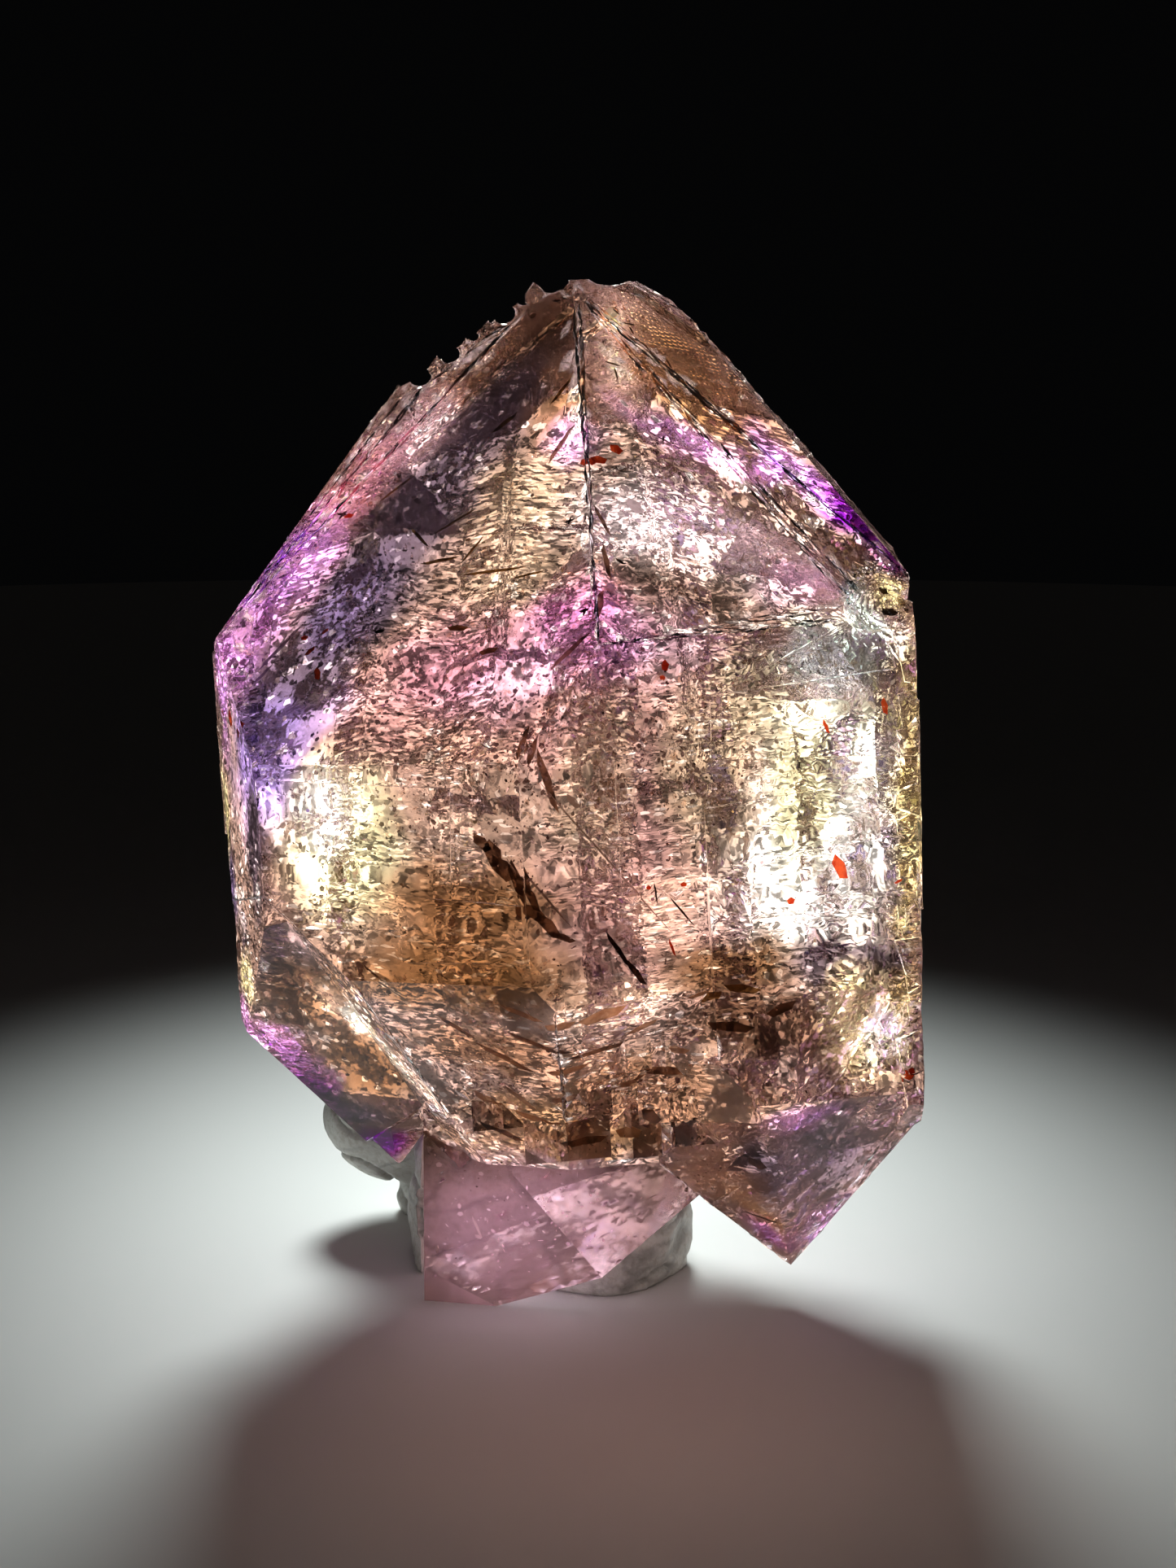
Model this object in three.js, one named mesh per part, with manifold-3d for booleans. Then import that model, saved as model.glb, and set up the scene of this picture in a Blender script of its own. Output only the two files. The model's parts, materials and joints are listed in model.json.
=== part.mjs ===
// A smoky amethyst crystal standing on a lump of mineral putty.
// Millimetres, +Z up, +X to the right and -Y towards the viewer.
// The specimen is a group of quartz crystals that grew together along one shared axis, so it is one solid.
// Each crystal is a convex body given by its flat faces, and the group stands on its foot crystal and the putty.

import * as THREE from "three";
import { ConvexGeometry } from "three/addons/geometries/ConvexGeometry.js";
import { mergeVertices } from "three/addons/utils/BufferGeometryUtils.js";
import Module from "manifold-3d";

const wasm = await Module();
wasm.setup();

// Quartz angles, in degrees
const PRISM = 90; // a prism face lies along the crystal axis
const UPPER = 51.8; // a rhombohedral face of the top point
const LOWER = 180 - UPPER; // the same below
const UP = 0; // a cut straight across the axis
const DOWN = 180;

// How the crystals stand: the lean of their axis in degrees, and a point that it passes through
const LEAN_LEFT = 3.4;
const LEAN_BACK = 4;
const AXIS_BACK = 4.7;
const AXIS_HEIGHT = 27;

// Distances of the big faces from that point
const FRONT_LEFT = 16.9;
const FRONT_RIGHT = 13.8;
const RIGHT = 16.88;
const LEFT = 19.1;
const TOP = 26.9;
const RIGHT_TAPER = 91.8; // the right side leans in a little towards the bottom

const GAP = 0.3; // between the crystal and the putty
const EPS = 1e-6;

// A face is [azimuth, tilt, distance]: azimuth 0 faces the viewer and 90 the right,
// tilt is the angle between its normal and the crystal axis.
const MAIN = [
  [-30, PRISM, FRONT_LEFT],
  [30, PRISM, FRONT_RIGHT],
  [90, RIGHT_TAPER, RIGHT],
  [150, PRISM, 12.6],
  [-150, PRISM, 12.2],
  [-90, PRISM, LEFT],
  [-72, PRISM, LEFT - 0.2],
  [-30, UPPER, 15.3],
  [30, UPPER, 16.15],
  [84, UPPER, 20.35],
  [150, UPPER, 20],
  [-150, UPPER, 18.3],
  [-90, UPPER, 20.65],
  [0, 2, TOP],
  [-30, LOWER, 17.95],
  [30, LOWER, 16.35],
  [-66, 125.8, 17.6],
  [150, LOWER, 17],
  [-150, LOWER, 16.4],
  [-29, 173, 19.6],
];

// The point at the lower right
const RIGHT_POINT = [
  [-30, PRISM, 8.1],
  [30, PRISM, FRONT_RIGHT + 0.12],
  [90, RIGHT_TAPER, RIGHT - 0.03],
  [150, PRISM, 10.5],
  [-90, PRISM, 1],
  [-150, PRISM, 6],
  [12, 6, 1.5],
  [27, 123.7, 20],
  [-30, LOWER, 14.3],
  [90, 131, 23.95],
  [-90, 137, 12.5],
  [150, LOWER, 19],
  [-150, LOWER, 17],
];

// The crystal at the lower left, set back from the main one
const LEFT_CRYSTAL = [
  [-72, PRISM, LEFT - 0.25],
  [-90, PRISM, LEFT - 0.05],
  [-30, PRISM, FRONT_LEFT - 0.1],
  [-20, LOWER, 14.8],
  [-90, LOWER, 21.7],
  [30, PRISM, 2],
  [90, PRISM, -6],
  [150, PRISM, 4],
  [-150, PRISM, 12.1],
  [-150, LOWER, 20],
  [53.5, 152.7, 11.5],
  [0, UP, -1.5],
];

// The foot crystal stands upright by itself: its faces are measured from the point on the table below the axis.
const FOOT = [
  [-13.3, 86.7, 1.75],
  [-90, PRISM, 8.75],
  [0, DOWN, 0],
  [112.6, 157.1, -1.85],
  [29, 56, 2.75],
  [42, 50, 4.6],
  [90, PRISM, 6.4],
  [180, PRISM, 9],
  [0, UP, 11],
];

// Whole crystals of the group: [x, y, half the width, height of the top point, height of the lower point]
const BACK_CRYSTALS = [
  [-7.2, 7.4, 7.4, 17.5, -21.5],
  [6.4, 8.2, 6.2, 11.5, -20.5],
  [0.4, 10.2, 4.6, 4.6, -22],
  [12.2, 3.2, 4.4, 1.5, -18.5],
  [-13.2, 2.2, 5.2, 5.5, -15],
];
const DARK_TIP = [-11.55, 1.7, 2.3, -14, -20.1];

// Blocks of stepped growth under the front: [x, y, half the width, top, bottom]
const BLOCKS = [
  [-2, -8.4, 2.2, -14.9, -18.2],
  [1.3, -7.8, 1.5, -14.6, -18.4],
  [-5.2, -8.2, 1.6, -13.6, -16.4],
  [1.2, -11.6, 1.3, -9.2, -13.2],
  [3.2, -9.8, 1.5, -11.2, -16.2],
  [-0.8, -10.9, 1.2, -12.6, -15.4],
  [4.6, -7.4, 1.3, -14.4, -18],
];

// Raised terraces on the faces of the main crystal:
// [face, how far it stands out, then the faces that bound it]
const TERRACES = [
  [1, 0.16, [14, 8, 7.4], [-10, 174, -1.2], [-90, 88, -6.2]],
  [1, 0.1, [-8, 4, 4.1], [6, 177, 4.6], [-90, 90, -1.5], [88, 90, 13.2]],
  [1, 0.22, [0, 3, -2.2], [0, 176, 6.6], [-90, 84, -8.4]],
  [0, 0.14, [0, 4, 3.2], [0, 178, 5.4], [90, 93, -6.6]],
  [0, 0.2, [10, 5, -2.1], [-12, 176, 7.6], [-80, 90, 11.8]],
  [3, 0.4, [0, 4, 6.5], [0, 176, 5], [90, 86, 10.5]],
  [4, 0.45, [0, 3, 10.2], [0, 178, 3.4], [-90, 92, 13.4]],
  [5, 0.25, [0, 4, 8.6], [0, 176, 1.2], [180, 90, 2.2]],
  [2, 0.3, [0, 3, 4.5], [0, 176, 7], [180, 90, 2.2]],
  [10, 0.35, [-90, 90, 1.5], [180, 70, 12.5]],
  [11, 0.35, [90, 92, 1.2], [180, 74, 13]],
];
const TERRACE_SINK = 0.06; // a terrace's other faces lie this far inside the crystal's

// Chips broken out: [x, y, z, half-sizes along x, y and z]
const CHIPS = [
  [2.9, 0.5, 27.2, 1.6, 3.2, 0.85],
  [0.5, 0.2, 27.25, 0.75, 2.4, 0.6],
  [1.9, 4.6, 27.4, 3.6, 2.6, 1.3],
  [15.6, -8.5, 9.6, 2.3, 2.7, 2.1],
  [16.9, -7.3, 11.7, 1.7, 1.7, 1.6],
  [17.8, -5.6, 9.2, 1.4, 2, 1.1],
  [-19.9, -6, 12.6, 1, 1.4, 1],
  [5.4, -1.2, 26.9, 0.7, 1.6, 0.5],
  [-14.6, -2.6, -19.3, 1.6, 2.2, 1.4],
  [-11, -5.6, -17.8, 1.5, 1.6, 1.3],
  [-8.6, -7, -16.9, 1.3, 1.2, 1.2],
];

// The broken edge at the upper left, between two faces of the main crystal, and the edge at the right
const BROKEN_EDGE = [7, 11];
const RIDGE = [7, 8];
const RIGHT_EDGE = [1, 2];

// Chips along the broken edge: [height, half-size]
const EDGE_CHIPS = [
  [26.95, 0.95],
  [26, 0.45],
  [25.35, 0.7],
  [24.25, 0.4],
  [23.4, 0.62],
  [22.3, 0.72],
];

// Grains of quartz that grew on an edge: [edge, height, half the width]
const GRAINS = [
  [BROKEN_EDGE, 26.35, 0.5],
  [BROKEN_EDGE, 24.7, 0.36],
  [BROKEN_EDGE, 23.92, 0.3],
  [BROKEN_EDGE, 22.88, 0.45],
  [BROKEN_EDGE, 21.55, 0.3],
  [RIDGE, 26.1, 0.34],
];
const GRAIN_SINK = 0.35; // of its width, into the crystal

// Scales of quartz down the right-hand edge
const SCALES = 30;
const SCALES_TOP = 8.6;
const SCALES_BOTTOM = -16.6;
const SCALE_SIZE = [0.55, 1.25];
const SCALE_STANDS_OUT = 0.12;

// The lump of putty: [x, y, z, half-sizes], then what was pressed into it: [x, y, z, radius, depth]
const LOBES = [
  [0.6, 6.7, 2.2, 5.1, 5.9, 6.6],
  [-5.2, 7.8, 2.6, 4.9, 6.4, 7.4],
  [-9.1, 15.8, 6, 6.1, 5, 4.2],
  [-6.2, 16.2, 2.2, 5.2, 4.4, 4.8],
  [-1, 12.8, 2.6, 6, 5, 7],
];
const DENTS = [
  [3.6, 1.4, 2.6, 1.5, 0.6],
  [5.4, 4.2, 2, 1.4, 0.5],
  [1.4, 0.8, 3.4, 1.3, 0.35],
  [-13.6, 11, 4.6, 2.2, 0.9],
  [-5.5, 17.6, 3.6, 2.4, 1],
  [2.6, 15.6, 4.2, 2.2, 0.9],
  [5.2, 10.2, 3.4, 1.9, 0.7],
];
const PUTTY_DETAIL = 9;
const PUTTY_WAVES = 0.14;

const lean = new THREE.Matrix4()
  .makeTranslation(0, AXIS_BACK, AXIS_HEIGHT)
  .multiply(
    new THREE.Matrix4().makeRotationFromEuler(
      new THREE.Euler(THREE.MathUtils.degToRad(-LEAN_BACK), THREE.MathUtils.degToRad(-LEAN_LEFT), 0, "YXZ"),
    ),
  );
const upright = new THREE.Matrix4();

let seed = 7;
function random() {
  seed = (seed * 16807) % 2147483647;
  return seed / 2147483647;
}

function faceNormal(azimuth, tilt) {
  const a = THREE.MathUtils.degToRad(azimuth);
  const t = THREE.MathUtils.degToRad(tilt);
  return new THREE.Vector3(Math.sin(a) * Math.sin(t), -Math.cos(a) * Math.sin(t), Math.cos(t));
}

function planeOf([azimuth, tilt, distance], grow) {
  return new THREE.Plane(faceNormal(azimuth, tilt), -(distance + grow));
}

// A face through a point
function faceThrough(azimuth, tilt, point) {
  return [azimuth, tilt, faceNormal(azimuth, tilt).dot(point)];
}

// The point where three planes meet, or null
function meeting(a, b, c) {
  const m = new THREE.Matrix3().set(...a.normal.toArray(), ...b.normal.toArray(), ...c.normal.toArray());
  if (Math.abs(m.determinant()) < EPS) return null;
  return new THREE.Vector3(-a.constant, -b.constant, -c.constant).applyMatrix3(m.invert());
}

// The corners of the body that lies inside every face
function cornersOf(planes) {
  const corners = [];
  for (let i = 0; i < planes.length; i++)
    for (let j = i + 1; j < planes.length; j++)
      for (let k = j + 1; k < planes.length; k++) {
        const p = meeting(planes[i], planes[j], planes[k]);
        if (p && planes.every((plane) => plane.distanceToPoint(p) < EPS)) corners.push(p);
      }
  return corners;
}

// The point at a height on the edge between two faces of the main crystal
function edgePoint([a, b], height) {
  return meeting(planeOf(MAIN[a], 0), planeOf(MAIN[b], 0), planeOf([0, UP, height], 0));
}

function solidOf(geometry) {
  const bare = geometry.clone();
  bare.deleteAttribute("normal");
  bare.deleteAttribute("uv");
  const merged = mergeVertices(bare, 1e-4);
  return new wasm.Manifold(
    new wasm.Mesh({
      numProp: 3,
      vertProperties: merged.attributes.position.array,
      triVerts: new Uint32Array(merged.index.array),
    }),
  );
}

function geometryOf(solid) {
  const mesh = solid.getMesh();
  const geometry = new THREE.BufferGeometry();
  geometry.setAttribute("position", new THREE.BufferAttribute(mesh.vertProperties, 3));
  geometry.setIndex(new THREE.BufferAttribute(mesh.triVerts, 1));
  return geometry;
}

function joined(solids) {
  return solids.reduce((all, solid) => all.add(solid));
}

function crystal(faces, place, grow = 0) {
  return solidOf(new ConvexGeometry(cornersOf(faces.map((face) => planeOf(face, grow)))).applyMatrix4(place));
}

// The faces of a whole hexagonal crystal with three large faces and three small ones at each end
function pointed([x, y, radius, top, bottom]) {
  const faces = [];
  for (let i = 0; i < 6; i++) {
    const azimuth = 30 + 60 * i;
    const small = 0.06 * radius * (i % 2);
    faces.push(faceThrough(azimuth, PRISM, new THREE.Vector3(x, y, 0)));
    faces.at(-1)[2] += radius;
    faces.push(faceThrough(azimuth, UPPER, new THREE.Vector3(x, y, top + small)));
    faces.push(faceThrough(azimuth, LOWER, new THREE.Vector3(x, y, bottom - small)));
  }
  return faces;
}

// A short hexagonal block with flat ends, a little out of true
function blockFaces([x, y, radius, top, bottom]) {
  const faces = pointed([x, y, radius, top + 3 * radius, bottom - 3 * radius]);
  faces.push(faceThrough(-20, 8, new THREE.Vector3(x, y, top)));
  faces.push(faceThrough(10, 168, new THREE.Vector3(x, y, bottom)));
  return faces;
}

function terraceFaces([which, raise, ...limits]) {
  const faces = MAIN.map(([azimuth, tilt, distance], i) => [
    azimuth,
    tilt,
    distance + (i === which ? raise : -TERRACE_SINK),
  ]);
  return [...faces, ...limits];
}

function scaleFaces(index) {
  const size = THREE.MathUtils.lerp(...SCALE_SIZE, random());
  const z = THREE.MathUtils.lerp(SCALES_TOP, SCALES_BOTTOM, (index + random()) / SCALES);
  const edge = edgePoint(RIGHT_EDGE, z);
  const out = SCALE_STANDS_OUT * (0.3 + random());
  return [
    [30, PRISM, FRONT_RIGHT + 0.12 + out * 0.7],
    faceThrough(90, RIGHT_TAPER + 6 * random() - 3, edge.clone().setX(edge.x + out)),
    faceThrough(10 + 20 * random(), 30 + 20 * random(), edge.clone().setZ(z + size)),
    faceThrough(40 * random(), 150 - 30 * random(), edge.clone().setZ(z - size)),
    faceThrough(-80 + 30 * random(), 90 + 20 * random(), edge.clone().setX(edge.x - size * 1.3)),
    faceThrough(165, 92, edge.clone().setY(edge.y + size)),
  ];
}

function grainFaces([edge, height, radius]) {
  const sunk = edgePoint(edge, height).multiplyScalar(1 - (GRAIN_SINK * radius) / height);
  return pointed([sunk.x, sunk.y, radius, sunk.z + 1.6 * radius, sunk.z - 1.6 * radius]);
}

// A ball with facets, stretched to its half-sizes, that a chip leaves behind
function chip([x, y, z, rx, ry, rz], index) {
  const ball = new THREE.IcosahedronGeometry(1, 2).rotateX(index).rotateY(index * 2.3);
  return solidOf(ball.scale(rx, ry, rz).translate(x, y, z).applyMatrix4(lean));
}

// A putty lobe: a ball with waves and dents
function lobe([x, y, z, rx, ry, rz], index) {
  const ball = new THREE.IcosahedronGeometry(1, PUTTY_DETAIL).rotateZ(index).scale(rx, ry, rz).translate(x, y, z);
  const centre = new THREE.Vector3(x, y, z);
  const position = ball.attributes.position;
  for (let i = 0; i < position.count; i++) {
    const p = new THREE.Vector3().fromBufferAttribute(position, i);
    const out = p.clone().sub(centre).normalize();
    const wave = Math.sin(1.1 * p.x + 0.7 * p.z + index) + Math.sin(1.3 * p.y - 0.9 * p.z + 2 * index);
    let move = PUTTY_WAVES * wave;
    for (const [dx, dy, dz, radius, depth] of DENTS) {
      const far = p.distanceTo(new THREE.Vector3(dx, dy, dz)) / radius;
      move -= depth * Math.exp(-far * far);
    }
    p.addScaledVector(out, move);
    position.setXYZ(i, p.x, p.y, p.z);
  }
  return solidOf(ball);
}

// Every crystal of the specimen, each enlarged by grow
function crystals(grow) {
  return joined([
    crystal(MAIN, lean, grow),
    crystal(RIGHT_POINT, lean, grow),
    crystal(LEFT_CRYSTAL, lean, grow),
    crystal(pointed(DARK_TIP), lean, grow),
    crystal(FOOT, upright, grow),
    ...BACK_CRYSTALS.map((size) => crystal(pointed(size), lean, grow)),
    ...BLOCKS.map((size) => crystal(blockFaces(size), lean, grow)),
  ]);
}

function specimenSolid() {
  const terraces = TERRACES.map((terrace) => crystal(terraceFaces(terrace), lean));
  const edgeChips = EDGE_CHIPS.map(([height, size]) => [
    ...edgePoint(BROKEN_EDGE, height).toArray(),
    size,
    1.6 * size,
    0.8 * size,
  ]);
  const chips = [...CHIPS, ...edgeChips].map(chip);
  const grains = GRAINS.map((grain) => crystal(grainFaces(grain), lean));
  const scales = Array.from({ length: SCALES }, (_, i) => crystal(scaleFaces(i), lean));
  const chipped = joined([crystals(0), ...terraces]).subtract(joined(chips));
  return joined([chipped, ...grains, ...scales]);
}

function puttySolid() {
  const table = solidOf(new THREE.BoxGeometry(80, 80, 20).translate(0, 0, -10));
  return joined(LOBES.map(lobe)).subtract(table).subtract(crystals(GAP));
}

function piece(name, solid, finish) {
  const mesh = new THREE.Mesh(geometryOf(solid), new THREE.MeshStandardMaterial(finish));
  mesh.name = name;
  return mesh;
}

const specimen = new THREE.Group();
specimen.add(piece("crystal", specimenSolid(), { color: 0x9a7a9e, roughness: 0.08, metalness: 0 }));
specimen.add(piece("putty", puttySolid(), { color: 0xb9b6ae, roughness: 0.8, metalness: 0 }));

// The origin is the middle of the footprint, on the table
const box = new THREE.Box3().setFromObject(specimen, true);
const middle = box.getCenter(new THREE.Vector3());
specimen.position.set(-middle.x, -middle.y, -box.min.z);

export default specimen;
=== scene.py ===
"""A smoky amethyst crystal specimen on a lump of putty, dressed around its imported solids.

Lengths are in metres in the row frame: +Z up, +X to the right of the photograph, -Y towards the viewer.
Sizes are written in millimetres and multiplied by MM.
"""

import json
import math
import random

import bpy
import numpy as np
from mathutils import Matrix, Vector, noise
from mathutils.bvhtree import BVHTree

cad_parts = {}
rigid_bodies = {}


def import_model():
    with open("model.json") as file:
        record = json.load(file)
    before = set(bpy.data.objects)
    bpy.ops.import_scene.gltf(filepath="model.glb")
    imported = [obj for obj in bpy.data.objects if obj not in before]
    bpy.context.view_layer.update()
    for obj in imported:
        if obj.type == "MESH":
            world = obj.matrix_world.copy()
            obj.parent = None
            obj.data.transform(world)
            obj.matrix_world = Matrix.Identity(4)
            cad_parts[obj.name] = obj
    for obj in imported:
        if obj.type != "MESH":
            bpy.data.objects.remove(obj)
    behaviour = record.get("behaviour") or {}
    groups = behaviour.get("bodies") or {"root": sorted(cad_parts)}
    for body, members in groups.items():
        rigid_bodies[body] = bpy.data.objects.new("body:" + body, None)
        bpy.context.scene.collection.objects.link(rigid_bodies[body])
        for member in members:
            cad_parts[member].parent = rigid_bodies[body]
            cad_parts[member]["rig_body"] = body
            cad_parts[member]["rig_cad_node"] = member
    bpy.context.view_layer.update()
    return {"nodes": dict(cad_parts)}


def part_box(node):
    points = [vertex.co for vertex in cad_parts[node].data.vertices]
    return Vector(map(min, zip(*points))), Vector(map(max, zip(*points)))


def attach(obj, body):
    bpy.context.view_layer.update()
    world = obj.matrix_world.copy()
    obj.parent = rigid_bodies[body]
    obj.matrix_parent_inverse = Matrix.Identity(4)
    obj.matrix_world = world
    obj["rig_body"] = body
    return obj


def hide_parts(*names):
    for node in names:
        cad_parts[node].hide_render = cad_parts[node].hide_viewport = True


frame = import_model()

MM = 0.001

NOISE_SEED = 7
noise.seed_set(NOISE_SEED)  # or else noise_vector would start from the clock

# The photograph: its size in pixels, its focal length in pixels, and where its camera stood.
PHOTO_WIDE = 1445
PHOTO_HIGH = 1927
FOCAL_PIXELS = 3900
SENSOR = 36.0
CAMERA_AT = Vector((1.2, -166.0, 56.7)) * MM
CAMERA_DOWN = math.radians(10)
PIXEL = 0.04  # mm across on the crystal's front

# The crystal's own axis, along which it grew: it leans to the left and back.
LEAN_LEFT = math.radians(3.4)
LEAN_BACK = math.radians(4)
AXIS_POINT = Vector((1.2, 0.9, 27.0)) * MM
AXIS_TURN = Matrix.Rotation(-LEAN_LEFT, 3, "Y") @ Matrix.Rotation(-LEAN_BACK, 3, "X")
AXIS = AXIS_TURN @ Vector((0, 0, 1))

QUARTZ_IOR = 1.544

# The light around it: how bright the studio's dark and bright patches are and how many turns of them there are, and
# how bright the backdrop and the soft light on everything that isn't seen through the crystal are
STUDIO_DARK = 0.5
STUDIO_BRIGHT = 9.0
STUDIO_FRONT = 0.3
STUDIO_PATCHES = 3.0
BACKDROP_GLOW = 0.0015
FILL_GLOW = 0.004

# Colours of the crystal: the light that passes it there, as linear light. Most are its own colour zones; in the dark
# wedge at the upper left the smoky colour also carries painted shade.
BODY = (0.165, 0.105, 0.086)
LILAC = (0.46, 0.26, 0.42)
VIOLET = (0.52, 0.22, 0.68)
DEEP_VIOLET = (0.10, 0.004, 0.22)
BRIGHT_VIOLET = (0.80, 0.28, 1.0)
INDIGO = (0.26, 0.17, 0.52)
DEEP_BLUE = (0.085, 0.06, 0.17)
PURPLE = (0.19, 0.055, 0.15)
PINK = (0.86, 0.33, 0.44)
SOFT_LILAC = (0.88, 0.62, 0.76)
ROSE_TAN = (0.21, 0.105, 0.10)
TAN = (1.0, 0.68, 0.50)
CREAM = (0.72, 0.48, 0.33)
BRONZE = (0.22, 0.11, 0.045)
CLOUDY = (0.24, 0.175, 0.115)
GOLDEN = (0.085, 0.036, 0.013)
BROWN = (0.18, 0.088, 0.046)
DARK_BROWN = (0.060, 0.028, 0.016)
# smoky colour, which in the dark wedge at the upper left also stands for painted shade
SMOKE_AND_PAINTED_SHADE = (0.034, 0.024, 0.034)
GREY = (0.42, 0.56, 0.54)
GREY_LILAC = (0.11, 0.075, 0.085)
PALE = (0.66, 0.55, 0.60)
PALE_VIOLET = (0.56, 0.29, 0.56)
STRAW = (1.0, 1.0, 0.80)
OLIVE = (0.75, 0.66, 0.32)
GREY_GREEN = (0.56, 0.52, 0.30)
WHITE = (1.0, 1.0, 0.96)


# Helpers for placing and for edit mode

def view_ray(u, v):
    """The way that the photograph's camera looks through pixel u, v."""
    across = (u - PHOTO_WIDE / 2) / FOCAL_PIXELS
    down = (v - PHOTO_HIGH / 2) / FOCAL_PIXELS
    forward = Vector((0, math.cos(CAMERA_DOWN), -math.sin(CAMERA_DOWN)))
    up = Vector((0, math.sin(CAMERA_DOWN), math.cos(CAMERA_DOWN)))
    return (forward + Vector((1, 0, 0)) * across - up * down).normalized()


def bent_ray(ray, normal):
    """The way that a ray goes on inside the crystal."""
    facing = max(0.05, -ray.dot(normal))
    ratio = 1 / QUARTZ_IOR
    return (ray * ratio + normal * (ratio * facing - math.sqrt(1 - ratio * ratio * (1 - facing * facing)))).normalized()


def deselect():
    if bpy.context.object and bpy.context.object.mode != "OBJECT":
        bpy.ops.object.mode_set(mode="OBJECT")
    bpy.ops.object.select_all(action="DESELECT")


def pick(piece):
    deselect()
    piece.select_set(True)
    bpy.context.view_layer.objects.active = piece


def select_faces(piece, wanted):
    """Selects the faces of a piece for which wanted(face) is true, and stays in edit mode."""
    pick(piece)
    bpy.ops.object.mode_set(mode="EDIT")
    bpy.ops.mesh.select_mode(type="FACE")
    bpy.ops.mesh.select_all(action="DESELECT")
    bpy.ops.object.mode_set(mode="OBJECT")
    for face in piece.data.polygons:
        face.select = wanted(face)
    bpy.ops.object.mode_set(mode="EDIT")


def merged_copy(node, name):
    """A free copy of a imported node, with its loose triangles merged into flat faces."""
    piece = frame["nodes"][node].copy()
    piece.data = frame["nodes"][node].data.copy()
    piece.name = name
    piece.data.name = name
    bpy.context.scene.collection.objects.link(piece)
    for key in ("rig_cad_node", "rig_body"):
        del piece[key]
    piece.parent = None
    piece.hide_render = False
    piece.hide_viewport = False
    pick(piece)
    bpy.ops.object.mode_set(mode="EDIT")
    bpy.ops.mesh.select_all(action="SELECT")
    bpy.ops.mesh.remove_doubles(threshold=0.001 * MM)
    bpy.ops.mesh.dissolve_limited(angle_limit=math.radians(0.6))
    bpy.ops.object.mode_set(mode="OBJECT")
    return piece


# Shader helpers

def new_material(name):
    material = bpy.data.materials.new(name)
    material.use_nodes = True
    nodes = material.node_tree.nodes
    return material, nodes, material.node_tree.links, nodes["Principled BSDF"]


def add_node(nodes, kind, values=None, **settings):
    node = nodes.new(kind)
    for name, value in settings.items():
        setattr(node, name, value)
    for name, value in (values or {}).items():
        node.inputs[name].default_value = value
    return node


def math_node(nodes, links, operation, *terms):
    """A Math node of numbers and outputs, and its output."""
    node = add_node(nodes, "ShaderNodeMath", operation=operation)
    for slot, term in enumerate(terms):
        if isinstance(term, (int, float)):
            node.inputs[slot].default_value = term
        else:
            links.new(term, node.inputs[slot])
    return node.outputs["Value"]


def mix_colour(nodes, links, share, first, second, blend="MIX"):
    """Mixes two colours, each a tuple or an output, and gives the output."""
    node = add_node(nodes, "ShaderNodeMix", data_type="RGBA", blend_type=blend)
    for slot, term in ((0, share), (6, first), (7, second)):
        if isinstance(term, (int, float)):
            node.inputs[slot].default_value = term
        elif isinstance(term, tuple):
            node.inputs[slot].default_value = (*term, 1.0)
        else:
            links.new(term, node.inputs[slot])
    return node.outputs[2]


def new_group(name, inputs, outputs):
    """A shader node group with named sockets, its nodes and links, and its two ends."""
    group = bpy.data.node_groups.new(name, "ShaderNodeTree")
    kinds = {"float": "NodeSocketFloat", "vector": "NodeSocketVector", "colour": "NodeSocketColor"}
    for label, kind in inputs.items():
        group.interface.new_socket(label, in_out="INPUT", socket_type=kinds[kind])
    for label, kind in outputs.items():
        group.interface.new_socket(label, in_out="OUTPUT", socket_type=kinds[kind])
    start = group.nodes.new("NodeGroupInput")
    end = group.nodes.new("NodeGroupOutput")
    return group, group.nodes, group.links, start.outputs, end.inputs


def place_group(nodes, links, group, **values):
    """Places a group in a material. A value is a number, a tuple or an output."""
    node = add_node(nodes, "ShaderNodeGroup", node_tree=group)
    for name, value in values.items():
        socket = node.inputs[name.replace("_", " ")]
        if isinstance(value, (int, float, tuple, Vector)):
            socket.default_value = value
        else:
            links.new(value, socket)
    return node


def make_shades():
    """The group that blends two shades in grains, by place: how fine, how twisted, and from which value to which."""
    group, nodes, links, given, result = new_group(
        "shades in grains",
        {"Place": "vector", "Fineness": "float", "Twist": "float", "From": "float", "To": "float", "First": "colour",
         "Second": "colour"},
        {"Colour": "colour", "Share": "float"})
    grain = add_node(nodes, "ShaderNodeTexNoise", {"Detail": 3.0, "Roughness": 0.6})
    links.new(given["Place"], grain.inputs["Vector"])
    links.new(given["Fineness"], grain.inputs["Scale"])
    links.new(given["Twist"], grain.inputs["Distortion"])
    spread = add_node(nodes, "ShaderNodeMapRange", interpolation_type="SMOOTHSTEP")
    links.new(grain.outputs["Fac"], spread.inputs["Value"])
    links.new(given["From"], spread.inputs["From Min"])
    links.new(given["To"], spread.inputs["From Max"])
    links.new(mix_colour(nodes, links, spread.outputs["Result"], given["First"], given["Second"]), result["Colour"])
    links.new(spread.outputs["Result"], result["Share"])
    return group


SHADES = make_shades()


def shade(nodes, links, fineness, first, second, twist=0.0, low=0.35, high=0.65):
    """Places the group of two shades on Object coordinates and gives its two outputs. Fineness is grains in a mm."""
    place = add_node(nodes, "ShaderNodeTexCoord")
    node = place_group(nodes, links, SHADES, Place=place.outputs["Object"], Fineness=fineness / MM, Twist=twist,
                       From=low, To=high, First=(*first, 1.0), Second=(*second, 1.0))
    return node.outputs["Colour"], node.outputs["Share"]


# Camera

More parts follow.
